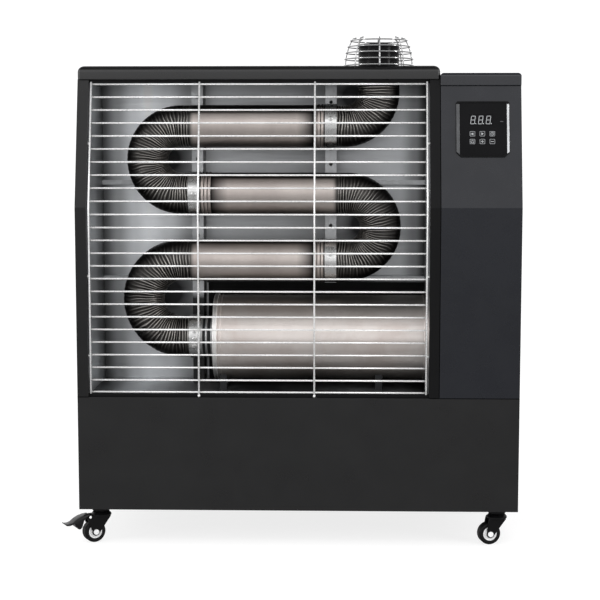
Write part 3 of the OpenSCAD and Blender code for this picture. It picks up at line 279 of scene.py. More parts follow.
def shaded_sheet(name, across, spots=(), axis="X", color=(0.90, 0.92, 0.94)):
    """Reflector sheet with painted light and shade along one axis (mm, brightness) and painted shadows around the given
    places (x, z, r).
    """
    m = sheet_metal(name, color, 0.40, (9.0, 9.0, 420.0), line=0.03)
    nt, b, clean = base_of(m)
    xyz = split_xyz(nt, coords(nt))
    lo, hi = across[0][0], across[-1][0]
    ramp = grey_ramp(nt, remap(nt, xyz[axis], lo * MM, hi * MM, 0.0, 1.0),
                     [((at - lo) / (hi - lo), level) for at, level in across])
    ramp.color_ramp.interpolation = "EASE"
    col = mix(nt, 1.0, clean, ramp.outputs["Color"], "MULTIPLY")
    # painted shade: along X the sheet also darkens towards the bottom
    low = remap(nt, xyz["Z"], 0.30, 0.52, 0.76 if axis == "X" else 1.0, 1.0)
    col = mix(nt, 1.0, col, low, "MULTIPLY")
    flat = coords(nt, (1.0, 0.0, 1.0))
    # painted shadows around the given places
    for x, z, r in spots:
        d = add(nt, "ShaderNodeVectorMath", operation="DISTANCE")
        link(nt, flat, d.inputs[0])
        d.inputs[1].default_value = (x * MM, 0.0, z * MM)
        near = remap(nt, d.outputs["Value"], r * MM, r * 0.35 * MM, 0.0, 0.93)
        col = mix(nt, near, col, (0.012, 0.012, 0.013))
    link(nt, col, b.inputs["Base Color"])
    return m


# painted shade in the sheet's corners, between the rows of pipe and behind the bends, and painted light between them
BACK_LIGHT_AND_SHADE = [(-356, 0.16), (-330, 0.50), (-300, 0.92), (-275, 1.1), (-240, 0.90), (-200, 0.50), (-165, 0.68),
               (-40, 0.52), (30, 0.38), (90, 0.56), (175, 0.60), (205, 0.30), (222, 0.08)]
WALL_SHADE = [(-185, 0.78), (-120, 0.66), (-60, 0.40), (-9, 0.20)]
BEND_SHADOWS = [(-236, 658, 50), (110, 542, 50), (-236, 417, 56), (92, 770, 46)]


def drum_steel(name, color, tint):
    """The chamber's stainless, heat-tinted in patches, with painted shade along its top and underside."""
    m = sheet_metal(name, color, 0.44, (700.0, 12.0, 12.0), tint=tint)
    nt, b, clean = base_of(m)
    limb_shade = facing(nt, normal_xyz(nt)["Z"], 0.50, 0.97, 0.88)
    link(nt, mix(nt, limb_shade, clean, (0.085, 0.080, 0.070)), b.inputs["Base Color"])
    return m


def channel_steel():
    """Galvanised channel: bright faces, painted shade on its flanks, and painted shadow where it stands beside the
    chamber.
    """
    m = sheet_metal("channel_zinc", (0.56, 0.57, 0.58), 0.40, (200.0, 200.0, 30.0), spangle=0.5)
    nt, b, zinc = base_of(m)
    flank = facing(nt, normal_xyz(nt)["X"], 0.5, 0.9, 0.93)
    foot = remap(nt, split_xyz(nt, coords(nt))["Z"], 0.424, 0.412, 0.0, 0.95)
    link(nt, mix(nt, math_node(nt, "MAXIMUM", flank, foot), zinc, (0.010, 0.010, 0.010)), b.inputs["Base Color"])
    return m


def mottled(name, color, scale, dark, light, rough, spec=0.5, glow=None):
    """A nearly even surface between two colours; glow is an emission colour and its strength."""
    m, nt, b = material(name, color, rough=rough, spec=spec)
    link(nt, mix(nt, noise_fac(nt, coords(nt), scale), dark, light), b.inputs["Base Color"])
    if glow:
        b.inputs["Emission Color"].default_value = glow[0] + (1,)
        b.inputs["Emission Strength"].default_value = glow[1]
    return m


MATS = {
    "cabinet_paint": powder_coat("cabinet_paint", (0.0042, 0.0042, 0.0044), rough=0.30, spec=0.47),
    "column_paint": powder_coat("column_paint", (0.0040, 0.0049, 0.0080), rough=0.27, spec=0.46),
    "black_paint": powder_coat("black_paint", (0.0030, 0.0030, 0.0033), rough=0.40, spec=0.15),
    "reflector_sheet": shaded_sheet("reflector_sheet", BACK_LIGHT_AND_SHADE, BEND_SHADOWS),
    "galvanised": sheet_metal("galvanised", (0.58, 0.59, 0.60), 0.40, (200.0, 200.0, 30.0), spangle=0.5),
    "heated_stainless": heated_pipe(),
    "chamber_stainless": drum_steel("chamber_stainless", (0.80, 0.745, 0.71), (0.66, 0.58, 0.54)),
    "zinc_plate": sheet_metal("zinc_plate", (0.80, 0.80, 0.79), 0.27, (120.0, 120.0, 120.0), spangle=0.25, aniso=0.0),
    "flue_enamel": glossy("flue_enamel", (0.003, 0.003, 0.003), rough=0.20, spec=0.12),
    "bright_wire": cast_metal("bright_wire", (0.95, 0.95, 0.94), rough=0.28, metallic=0.5),
    "bezel_plastic": moulded("bezel_plastic", (0.0025, 0.0025, 0.0028), rough=0.24, grain=0.05, spec=0.10),
    "touch_glass": glossy("touch_glass", (0.004, 0.004, 0.0045), rough=0.07, spec=0.06),
    "circuit_board": glossy("circuit_board", (0.01, 0.06, 0.03), rough=0.3),
    "cast_alloy": cast_metal("cast_alloy", (0.50, 0.51, 0.52)),
    "burner_steel": sheet_metal("burner_steel", (0.52, 0.52, 0.52), 0.3, (300.0, 300.0, 300.0)),
    "motor_paint": cast_metal("motor_paint", (0.035, 0.038, 0.042), rough=0.4, metallic=0.0),
    "tank_paint": powder_coat("tank_paint", (0.030, 0.033, 0.037), rough=0.38),
    "copper": sheet_metal("copper", (0.75, 0.38, 0.24), 0.25, (200.0, 200.0, 200.0), tint=(0.35, 0.18, 0.12)),
    "gauge_plastic": glossy("gauge_plastic", (0.72, 0.69, 0.60), rough=0.2),
    "black_plastic": moulded("black_plastic", (0.004, 0.004, 0.0044), rough=0.34, spec=0.3),
    "wheel_rubber": moulded("wheel_rubber", (0.004, 0.004, 0.0042), rough=0.45, grain=0.3, spec=0.18),
}
lid_paint = powder_coat("lid_paint", (0.0050, 0.0050, 0.0052), rough=0.22, spec=0.62, edge_paling_share=0.0)
cap_paint = powder_coat("cap_paint", (0.0062, 0.0070, 0.0100), rough=0.24, spec=0.72, edge_paling_share=0.0)
strip_paint = powder_coat("strip_paint", (0.0036, 0.0036, 0.0038), rough=0.30, spec=0.36)
wall_sheet = shaded_sheet("wall_sheet", WALL_SHADE, axis="Y")
dark_steel_and_shade = cast_metal("dark_steel_and_shade", (0.045, 0.046, 0.048), rough=0.5)
slot_of = {s["node"]: s["material_slot"] for s in frame["record"]["subparts"]}
for n, o in nodes.items():
    o.data.materials.clear()
    o.data.materials.append(MATS[slot_of[n]])
# the chamber's saddles are given the dark steel as painted shade
for n, m in (("top_lid", lid_paint), ("column_cap", cap_paint), ("left_panel", strip_paint),
             ("reflector_sides", wall_sheet), ("pipe_supports", channel_steel()), ("chamber_saddles", dark_steel_and_shade)):
    nodes[n].data.materials[0] = m

# --------------------------------------------------------------- mesh helpers


def mesh_object(name, verts, faces, mat, smooth=True):
    me = bpy.data.meshes.new(name)
    me.from_pydata([tuple(v) for v in verts], [], faces)
    me.validate()
    me.update()
    if smooth:
        me.polygons.foreach_set("use_smooth", [True] * len(me.polygons))
    return placed(name, me, mat)


def placed(name, me, mat):
    me.materials.append(mat)
    o = bpy.data.objects.new(name, me)
    scene.collection.objects.link(o)
    return o


def bmesh_object(name, bm, mat):
    """Makes an object of a bmesh and frees it."""
    me = bpy.data.meshes.new(name)
    bm.to_mesh(me)
    bm.free()
    return placed(name, me, mat)


def bands(rows, m, base=0):
    """Quads between neighbouring rings of m points, which lie one after another from index base."""
    return [(base + i * m + j, base + i * m + (j + 1) % m, base + (i + 1) * m + (j + 1) % m, base + (i + 1) * m + j)
            for i in range(rows - 1) for j in range(m)]


def settle(o, body, slot, *replaced):
    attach(o, body)
    if replaced:
        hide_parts(*replaced)


# ------------------------------------------------------------------ the pipes

PIPE_R, AXIS_Y = 36.0, -105.0
LEFT_X, RIGHT_X, ELBOW_X = -204.5, 82.5, 78.5
LEFT_CLAMP, RIGHT_CLAMP, CLAMP_W = -180.5, 54.5, 20.0
CHAMBER_Z, ROW3_Z, ROW2_Z, ROW1_Z = 350.0, 484.0, 600.0, 716.0
PLEAT_LEAD, PLEAT_DEPTH, PLEATS = 18.0, 3.0, 40
BEND_R, PIPE_WALL, BEAD_R, SIDES = 58.0, 1.5, 2.2, 72


def wander(*v):
    return noise.noise(Vector(v))


def pleated_pipe(name, origin, mirror, r, sweep, lead_in, lead_out, run_out, beads, seed):
    """A pipe that leaves along +X, or -X if mirrored, turns up through a pleated bend by sweep degrees, and runs on.
    origin is where the bend starts; run_out is how far the plain pipe goes on after the pleats, and beads are
    the distances of its raised rings from its end."""
    stub = CLAMP_W / 2
    arc = r * math.radians(sweep)
    pitch = math.pi * r / PLEATS
    pleat0, pleat1 = -lead_in, arc + lead_out
    s = -lead_in - stub
    stations = [s, -lead_in - 0.6]
    n = max(8, round((pleat1 - pleat0) / pitch) * 10)
    stations += [pleat0 + (pleat1 - pleat0) * i / n for i in range(n + 1)]
    end = pleat1 + run_out
    if run_out > 8:
        stations += [pleat1 + 1.0, pleat1 + 2.5, pleat1 + 4.5, pleat1 + 7.0]
        marks = [pleat1 + 8.0 + (run_out - 8.0) * k / 8 for k in range(8)]
        for b in beads:
            marks += [end - b + d for d in (-3, -2.2, -1.7, -1.2, -0.6, 0, 0.6, 1.2, 1.7, 2.2, 3)]
        stations += sorted(m for m in marks if m < end - 0.5)
    stations += [end]
    count = (pleat1 - pleat0) / pitch

    def place(t):
        if t < 0:
            return t, 0.0, 0.0
        if t <= arc:
            a = t / r
            return r * math.sin(a), r - r * math.cos(a), a
        a = math.radians(sweep)
        d = t - arc
        return r * math.sin(a) + d * math.cos(a), r - r * math.cos(a) + d * math.sin(a), a

    verts, crest, pleat, outer = [], [], [], []
    sgn = -1 if mirror else 1
    for wall in (0, 1):
        for t in stations:
            x, z, h = place(t)
            on = pleat0 - 0.01 <= t <= pleat1 + 0.01
            u = (t - pleat0) / (pleat1 - pleat0) * count
            fade = max(0.0, min(1.0, (t - pleat0) / 2.0, (pleat1 - t) / 2.0)) if on else 0.0
            bronze_and_groove_shade = 1.0 if on or (t < pleat0 and run_out < 8) else 0.0
            if not on:
                bronze_and_groove_shade = max(0.0, 1 - min(abs(t - pleat0), abs(t - pleat1)) / 7.0) ** 1.5 if run_out > 8 else 1.0
            # painted shade in the grooves beside the beads: there the pleat mask takes the fold colour and the crest
            # falls to the fold's painted shadow
            valley = max([max(0.0, 1 - abs(abs(t - (end - b)) - 3.0) / 1.3) for b in beads] or [0.0])
            bronze_and_groove_shade = max(bronze_and_groove_shade, min(1.0, valley * 1.6))
            bent = max(0.0, 1 - max(-t, t - arc, 0.0) / 30)
            for j in range(SIDES):
                a = 2 * math.pi * j / SIDES
                q, c = PIPE_R, 0.30
                inside = (1 + math.cos(a)) / 2
                if on and wall == 0:
                    p = u + 0.8 * wander(seed + u * 0.09, math.cos(a) * 0.8, math.sin(a) * 0.8)
                    p += 0.34 * wander(seed + u * 0.45, math.cos(a) * 1.7, math.sin(a) * 1.7)
                    i = math.floor(p + 0.5)
                    d = (p - i) * 2
                    reach = 0.75 + 0.8 * wander(i * 1.37, seed, 0.3)
                    w = (0.07 + 0.93 * inside ** reach) * bent + 0.45 * (1 - bent)
                    w = max(0.0, min(1.0, w * (0.80 + 0.55 * wander(i * 2.1, seed * 0.7, a * 0.4)))) * fade
                    q -= PLEAT_DEPTH * 0.9 * w ** 0.7 * min(1.0, abs(d) / 0.62) ** 0.75
                    # painted highlight along each crease and painted shade either side of it, both stored in the crest
                    # value
                    line = max(0.0, 1 - abs(d) / 0.40) ** 0.9
                    shade = max(0.0, 1 - abs(abs(d) - 0.80) / 0.36) ** 0.8
                    keen = min(1.0, w * 1.9)
                    c = 0.30 + 0.70 * line * keen * (0.75 + 0.5 * wander(i * 3.3, seed, 0.0)) - 0.30 * shade * keen
                for b in beads:
                    e = abs(t - (end - b))
                    if wall == 0 and e < BEAD_R:
                        q = max(q, PIPE_R - 0.6 + math.sqrt(BEAD_R ** 2 - e * e))
                if wall:
                    q = PIPE_R - PLEAT_DEPTH - PIPE_WALL if on else PIPE_R - PIPE_WALL
                k = q * math.cos(a)
                px = x - math.sin(h) * k
                pz = z + math.cos(h) * k
                verts.append(((origin[0] + sgn * px) * MM, (AXIS_Y + q * math.sin(a)) * MM, (origin[1] + pz) * MM))
                crest.append(c * (1 - min(1.0, valley * 1.5)))
                pleat.append(bronze_and_groove_shade if wall == 0 else 0.8)
                # the outer value marks the bend's outer limb for painted shade
                outer.append(max(0.0, min(1.0, 1.15 - inside * 2.6)) * bent)
    m = len(stations)
    faces = []
    for wall in (0, 1):
        faces += [f if (wall == 1) != mirror else f[::-1] for f in bands(m, SIDES, wall * m * SIDES)]
    for i in (0, m - 1):
        for j in range(SIDES):
            k = (j + 1) % SIDES
            f = [i * SIDES + j, m * SIDES + i * SIDES + j, m * SIDES + i * SIDES + k, i * SIDES + k]
            faces.append(f if (i == 0) != mirror else f[::-1])
    o = mesh_object(name, verts, faces, MATS["heated_stainless"])
    for key, values in (("crest", crest), ("pleat", pleat), ("outer", outer)):
        at = o.data.attributes.new(key, "FLOAT", "POINT")
        at.data.foreach_set("value", values)
    bm = bmesh.new()
    bm.from_mesh(o.data)
    bmesh.ops.recalc_face_normals(bm, faces=bm.faces)
    bm.to_mesh(o.data)
    bm.free()
    return o


BEADS = [CLAMP_W / 2 + 4.5 + i * 6 for i in range(3)]
lead_left = LEFT_CLAMP - CLAMP_W / 2 - LEFT_X
lead_right = RIGHT_X - RIGHT_CLAMP - CLAMP_W / 2
run_left = RIGHT_CLAMP - LEFT_X - PLEAT_LEAD
run_right = RIGHT_X - PLEAT_LEAD - LEFT_CLAMP
for n, at, mirror, r, lead, run, seed in (
    ("pipe_lower_return", (LEFT_X, CHAMBER_Z), True, (ROW3_Z - CHAMBER_Z) / 2, lead_left, run_left, 1.7),
    ("pipe_upper_return", (LEFT_X, ROW2_Z), True, BEND_R, lead_left, run_left, 5.2),
    ("pipe_right_return", (RIGHT_X, ROW3_Z), False, BEND_R, lead_right, run_right, 8.9),
):
    p = pleated_pipe(n + "_skin", at, mirror, r, 180, lead, PLEAT_LEAD, run, BEADS, seed)
    settle(p, "cabinet", "heated_stainless", n)
p = pleated_pipe("flue_elbow_skin", (ELBOW_X, ROW1_Z), False, BEND_R, 90,
                 ELBOW_X - RIGHT_CLAMP - CLAMP_W / 2, 14.0, 2.0, [], 12.4)
settle(p, "cabinet", "heated_stainless", "pipe_flue_elbow")

# --------------------------------------------------------------- the casters


def lathe(name, profile, sides, mat, frame_matrix):
    """Turns a closed (radius, along) profile about local Y."""
    n = len(profile)
    verts = []
    for i in range(sides):
        a = 2 * math.pi * i / sides
        for r, y in profile:
            verts.append(frame_matrix @ Vector((r * math.cos(a) * MM, y * MM, r * math.sin(a) * MM)))
    faces = []
    for i in range(sides):
        k = (i + 1) % sides
        for j in range(n):
            m = (j + 1) % n
            faces.append((i * n + j, i * n + m, k * n + m, k * n + j))
    o = mesh_object(name, verts, faces, mat)
    tidy(o)
    return o


def tidy(o, sharp=35.0):
    bm = bmesh.new()
    bm.from_mesh(o.data)
    bmesh.ops.remove_doubles(bm, verts=bm.verts, dist=1e-7)
    bmesh.ops.recalc_face_normals(bm, faces=bm.faces)
    for e in bm.edges:
        if len(e.link_faces) == 2 and e.calc_face_angle(0.0) > math.radians(sharp):
            e.smooth = False
    bm.to_mesh(o.data)
    bm.free()


def arc_points(cx, cy, r, a0, a1, n):
    return [(cx + r * math.cos(math.radians(a0 + (a1 - a0) * i / n)),
             cy + r * math.sin(math.radians(a0 + (a1 - a0) * i / n))) for i in range(n + 1)]


rim = cast_metal("polished_rim", (0.95, 0.95, 0.95), rough=0.3, metallic=0.25)
chrome = sheet_metal("cage_chrome", (0.48, 0.48, 0.48), 0.12, (300.0, 300.0, 300.0), line=0.02, aniso=0.0)
nodes["flue_cage"].data.materials[0] = chrome
TRAIL, WHEEL_R, HALF_W, FORK_GAP, CHEEK_T = 14.0, 19.0, 8.5, 1, 1.8
PIN = (24.0, 46.0)  # the pedal's pin in the fork: ahead of the swivel, above the floor
CASTERS = {"front_left": (-342, -170, 210, True), "front_right": (342, -170, 192, False),
           "rear_left": (-342, 170, 168, False), "rear_right": (342, 170, 30, True)}


def swivel(key):
    """Where a caster's fork stands, and which way it points."""
    cx, cy, turn, _ = CASTERS[key]
    return Matrix.Translation((cx * MM, cy * MM, 0)) @ Matrix.Rotation(math.radians(turn), 4, "Z")


for key, (_, _, _, braked) in CASTERS.items():
    spin = swivel(key)
    at_axle = spin @ Matrix.Translation((TRAIL * MM, 0, WHEEL_R * MM))
    h = HALF_W
    tread = [(12.0, -h + 0.7), (12.6, -h + 0.2), (14.4, -h)]
    tread += arc_points(WHEEL_R - 3.0, -h + 3.0, 3.0, -70, -8, 6)
    groove = WHEEL_R - 0.35
    tread += [(WHEEL_R, -2.6), (WHEEL_R, -1.2), (groove, -0.8), (groove, 0.8), (WHEEL_R, 1.2), (WHEEL_R, 2.6)]
    tread += arc_points(WHEEL_R - 3.0, h - 3.0, 3.0, 8, 70, 6)
    tread += [(14.4, h), (12.6, h - 0.2), (12.0, h - 0.7)]
    tyre = lathe("tyre_" + key, tread, 72, MATS["wheel_rubber"], at_axle)
    settle(tyre, "roller_" + key, "wheel_rubber", "wheel_" + key)
    hub_p = [(3.1, -h), (5.6, -h), (6.0, -h + 0.4), (6.2, -h + 1.5), (9.4, -h + 1.7), (10.0, -h + 0.5),
             (10.6, -h + 0.15), (11.6, -h + 0.25), (11.98, -h + 0.8)]
    hub_p += [(r, -y) for r, y in hub_p[::-1]]
    hub = lathe("hub_" + key, hub_p, 64, rim, at_axle)
    settle(hub, "roller_" + key, "zinc_plate")
    for s in (-1, 1):
        nut_y = s * (h + FORK_GAP + CHEEK_T)
        side = at_axle @ Matrix.Translation((0, nut_y * MM, 0))
        cap = [(0.0, 0.0), (4.7, 0.0), (4.75, 1.9), (4.3, 2.4), (3.2, 2.55), (2.8, 2.3), (1.6, 2.65), (0.0, 2.7)]
        head = lathe("axle_head_%s_%d" % (key, s), [(r, s * y) for r, y in cap], 24, rim, side)
        settle(head, "caster_" + key, "zinc_plate")
        if braked:
            pin = spin @ Matrix.Translation((PIN[0] * MM, nut_y * MM, PIN[1] * MM))
            rivet = [(0.0, 0.0), (2.3, 0.0), (2.25, 0.6), (1.6, 0.86), (0.0, 0.95)]
            dot = lathe("pedal_rivet_%s_%d" % (key, s), [(r, s * y) for r, y in rivet], 20, rim, pin)
            settle(dot, "caster_" + key, "zinc_plate")

# --------------------------------------------------------------- the chamber

ALONG_X = Matrix.Translation((0, AXIS_Y * MM, CHAMBER_Z * MM)) @ Matrix.Rotation(math.radians(-90), 4, "Z")
DRUM_R, DRUM_X0, DRUM_X1, WALL = 73.0, -147.5, 237.5, 2.0


def rolled(r, x, w, high, n=8):
    """A half-round bead raised on a turned profile."""
    return [(r + high * math.sin(math.pi * i / n), x - w * math.cos(math.pi * i / n)) for i in range(n + 1)]


drum = [(PIPE_R + 0.2, DRUM_X0), (70.5, DRUM_X0), (72.4, DRUM_X0 + 0.2), (73.6, DRUM_X0 + 0.9),
        (74.4, DRUM_X0 + 2.2), (74.5, DRUM_X0 + 4.6), (74.0, DRUM_X0 + 6.0), (DRUM_R - 0.5, DRUM_X0 + 8.6),
        (DRUM_R - 0.6, DRUM_X0 + 9.8), (DRUM_R, DRUM_X0 + 10.4)]
for x in (DRUM_X0 + 14.0, DRUM_X1 - 22.0):
    drum += rolled(DRUM_R, x, 1.1, 0.7)
drum += [(DRUM_R, DRUM_X1 - 0.6), (DRUM_R - 0.6, DRUM_X1), (43.0, DRUM_X1), (43.0, DRUM_X1 - WALL),
         (DRUM_R - WALL, DRUM_X1 - WALL), (DRUM_R - WALL, DRUM_X0 + WALL), (PIPE_R + 0.2, DRUM_X0 + WALL)]
body = lathe("chamber_drum", drum, 160, MATS["chamber_stainless"], ALONG_X)
settle(body, "cabinet", "chamber_stainless", "combustion_chamber")
bore = PIPE_R - PIPE_WALL
spigot = [(bore, LEFT_CLAMP), (PIPE_R, LEFT_CLAMP), (PIPE_R, DRUM_X0 + 1.0), (bore, DRUM_X0 + 1.0)]
neck = lathe("chamber_spigot", spigot, 120, dark_steel_and_shade, ALONG_X)
settle(neck, "cabinet", "chamber_stainless")
for k, x in enumerate((-169.0, -160.6, -151.2)):
    ring = [(PIPE_R - 0.5, x - 2.0)] + rolled(PIPE_R, x, 2.0, 1.6) + [(PIPE_R - 0.5, x + 2.0)]
    settle(lathe("spigot_bead_%d" % k, ring, 120, MATS["galvanised"], ALONG_X), "cabinet", "chamber_stainless")
band = [(73.3, DRUM_X0 + 0.6), (74.6, DRUM_X0 + 1.0), (75.3, DRUM_X0 + 2.2), (75.0, DRUM_X0 + 3.6),
        (75.0, DRUM_X0 + 5.4), (75.4, DRUM_X0 + 6.8), (74.8, DRUM_X0 + 7.6), (73.3, DRUM_X0 + 8.0)]
band_steel = drum_steel("band_steel", (0.95, 0.94, 0.92), (0.88, 0.86, 0.84))
rim_band = lathe("chamber_rim", band, 160, band_steel, ALONG_X)
settle(rim_band, "cabinet", "zinc_plate")

# --------------------------------------------------------------- the guard

CAB_X, LID_X1, CAB_REAR = 375.0, 239.0, 200.0  # the cabinet's sides, the lid's right end, the cabinet's rear
WIRE, BASE_TOP, LID_Z, LID_TOP = 3.0, 257.0, 794.0, 817.0
GUARD_X = [-352.0, -167.9, 27.9, 217.0]
ROWS, GUARD_Z0, GUARD_Z1 = 25, 267.0, 786.0
LEAN = math.radians(12.6)
CREASE_Z, FRONT_Y = 579.0, -200.0


def front_at(z):
    return FRONT_Y + max(0.0, z - CREASE_Z) * math.tan(LEAN)


def tube(name, paths, r, mat, sides=12, ball=()):
    """Round wire along each path of points (mm), with closed ends."""
    bm = bmesh.new()
    for path in paths:
        path = [Vector(q) for q in path]
        rings = []
        for i, q in enumerate(path):
            t = (path[min(i + 1, len(path) - 1)] - path[max(i - 1, 0)]).normalized()
            u = t.cross(Vector((0, 1, 0)) if abs(t.y) < 0.9 else Vector((1, 0, 0))).normalized()
            w = t.cross(u)
            rings.append([bm.verts.new((q + (u * math.cos(a) + w * math.sin(a)) * r) * MM)
                          for a in (2 * math.pi * k / sides for k in range(sides))])
        for a, b in zip(rings, rings[1:]):
            for k in range(sides):
                bm.faces.new((a[k], a[(k + 1) % sides], b[(k + 1) % sides], b[k]))
        for ring in (rings[0], rings[-1]):
            bm.faces.new(ring)
    for q, radius in ball:
        bmesh.ops.create_uvsphere(bm, u_segments=16, v_segments=10, radius=radius * MM,
                                  matrix=Matrix.Translation(Vector(q) * MM))
    bmesh.ops.recalc_face_normals(bm, faces=bm.faces)
    for f in bm.faces:
        f.smooth = len(f.verts) < sides
    return bmesh_object(name, bm, mat)


upright = CREASE_Z - GUARD_Z0
length = upright + (GUARD_Z1 - CREASE_Z) / math.cos(LEAN)
pitch = length / (ROWS - 1)
wires = []
for i in range(ROWS):
    k = ROWS - 1 - i
    # the cross wires sit a little closer below the bend than above it
    sag = 0.32 * k if k < 10.5 else 3.35 - 0.144 * (k - 10.5)
    s = i * pitch - sag * pitch / 12.85 if i else -1.2
    z = GUARD_Z0 + s if s < upright else CREASE_Z + (s - upright) * math.cos(LEAN)
    y = front_at(z) + WIRE * 1.5 - 0.3
    wires.append([(GUARD_X[0] - 1.0, y, z), (GUARD_X[3] + 1.0, y, z)])
balls = []
WIRE_BEND = 40
bend_z = CREASE_Z - WIRE_BEND * math.tan(LEAN / 2)
for k, x in enumerate(GUARD_X):
    inner = k in (1, 2)
    z0 = GUARD_Z0 - (7.0 if inner else 4.0)
    line = [(x, FRONT_Y + WIRE / 2 + 0.2, z0)]
    for a in range(13):
        h = LEAN * a / 12
        line.append((x, FRONT_Y + WIRE / 2 + 0.2 + WIRE_BEND * (1 - math.cos(h)), bend_z + WIRE_BEND * math.sin(h)))
    z1 = GUARD_Z1 + 3.9
    line.append((x, front_at(z1) + WIRE / 2 + 0.2, z1))
    wires.append(line)
    if inner:
        balls.append(((x, FRONT_Y + WIRE / 2 + 0.5, z0), WIRE * 0.8))
pegs = []
for z in (327.8, 463.1, 686.0):
    y = front_at(z) + WIRE + 1
    pegs += [[(-356.0, y, z), (GUARD_X[0], y, z)], [(GUARD_X[3], y, z), (222.0, y, z)]]
guard = tube("guard_wires", wires, WIRE / 2, MATS["bright_wire"], ball=balls)
settle(guard, "cabinet", "bright_wire", "guard_grille")
peg_o = tube("guard_pegs", pegs, 2.0, MATS["bright_wire"])
settle(peg_o, "cabinet", "bright_wire")

# ------------------------------------------------------------------ the lid


def rounded_plan(x0, x1, y0, y1, r, n=4):
    pts = []
    for cx, cy, a in ((x1 - r, y1 - r, 0), (x0 + r, y1 - r, 90), (x0 + r, y0 + r, 180), (x1 - r, y0 + r, 270)):
        pts += arc_points(cx, cy, r, a, a + 90, n)
    return pts


def pressed_lid(name, lo, hi, nose, sheet, hole, mat, around=48):
    """A pressed tray, open below, with broad rounded upper edges and a round hole (x, y, r)."""
    bm = bmesh.new()

    def wall(t):
        out = []
        for z, inset in [(lo[2], 0.0), (hi[2] - nose, 0.0)] + [
                (hi[2] - nose + (nose - t) * math.sin(math.radians(a)), (nose - t) * (1 - math.cos(math.radians(a))))
                for a in range(9, 91, 9)]:
            d = t + inset
            ring = rounded_plan(lo[0] + d, hi[0] - d, lo[1] + d, hi[1] - d, max(1.0, 5.0 - t))
            out.append([bm.verts.new(Vector((x, y, z)) * MM) for x, y in ring])
        return out

    outer, inner = wall(0.0), wall(sheet)
    n = len(outer[0])
    for shell in (outer, inner):
        for a, b in zip(shell, shell[1:]):
            for i in range(n):
                bm.faces.new((a[i], a[(i + 1) % n], b[(i + 1) % n], b[i]))
    for i in range(n):
        bm.faces.new((outer[0][i], outer[0][(i + 1) % n], inner[0][(i + 1) % n], inner[0][i]))
    rounds = []
    for shell in (outer, inner):
        z = shell[-1][0].co.z
        circle = [bm.verts.new(Vector((hole[0] + hole[2] * math.cos(a), hole[1] + hole[2] * math.sin(a), 0)) * MM)
                  for a in (2 * math.pi * k / around for k in range(around))]
        for q in circle:
            q.co.z = z
        edges = []
        for loop in (shell[-1], circle):
            for i in range(len(loop)):
                pair = (loop[i], loop[(i + 1) % len(loop)])
                edges.append(bm.edges.get(pair) or bm.edges.new(pair))
        bmesh.ops.triangle_fill(bm, use_beauty=True, edges=edges)
        rounds.append(circle)
    for i in range(around):
        k = (i + 1) % around
        bm.faces.new((rounds[0][i], rounds[0][k], rounds[1][k], rounds[1][i]))
    bmesh.ops.recalc_face_normals(bm, faces=bm.faces)
    for f in bm.faces:
        f.smooth = True
    o = bmesh_object(name, bm, mat)
    tidy(o, 24)
    return o


FLUE_X = 136.5
lid = pressed_lid("lid_skin", (-CAB_X, -154.9, LID_Z), (LID_X1, CAB_REAR, LID_TOP), 10.5, 1.5, (FLUE_X, AXIS_Y, 39.0),
                  lid_paint)
settle(lid, "cabinet", "cabinet_paint", "top_lid")

# ---------------------------------------------------------------- the seams

SEAM, SKIN = 1.3, 0.06
gap_mat = mottled("seam_shadow", (0.0010, 0.0010, 0.0011), 200.0, (0.0006, 0.0006, 0.0007), (0.0014, 0.0014, 0.0015),
                  0.9, spec=0.0)


def sheet_box(verts, faces, x0, x1, y0, y1, z0, z1):
    n = len(verts)
    verts += [Vector((x, y, z)) * MM for x in (x0, x1) for y in (y0, y1) for z in (z0, z1)]
    faces += [tuple(n + k for k in f) for f in
              ((0, 1, 3, 2), (4, 6, 7, 5), (0, 4, 5, 1), (2, 3, 7, 6), (0, 2, 6, 4), (1, 5, 7, 3))]


verts, faces = [], []
for x0, x1 in ((-CAB_X, -356.0), (239.5, CAB_X), (222.0, LID_X1)):
    sheet_box(verts, faces, x0, x1, FRONT_Y - SKIN, FRONT_Y + 1, BASE_TOP - SEAM / 2, BASE_TOP + SEAM / 2)
for x in (-CAB_X, CAB_X):
    sheet_box(verts, faces, x - SKIN, x + SKIN, FRONT_Y, CAB_REAR, BASE_TOP - SEAM / 2, BASE_TOP + SEAM / 2)
n = len(verts)
for z in (BASE_TOP, CREASE_Z, 783.0):
    for x in (239.25 - SEAM / 2, 239.25 + SEAM / 2):
        verts += [Vector((x, front_at(z) - SKIN, z)) * MM, Vector((x, front_at(z) + 1, z)) * MM]
for k in (0, 4):
    q = n + k
    faces += [(q, q + 2, q + 6, q + 4), (q + 1, q + 5, q + 7, q + 3), (q, q + 4, q + 5, q + 1),
              (q + 2, q + 3, q + 7, q + 6)]
faces += [(n, n + 1, n + 3, n + 2), (n + 8, n + 10, n + 11, n + 9)]
seams = mesh_object("seam_lines", verts, faces, gap_mat, smooth=False)
tidy(seams)
settle(seams, "cabinet", "black_paint")

# --------------------------------------------------------------- the pedals

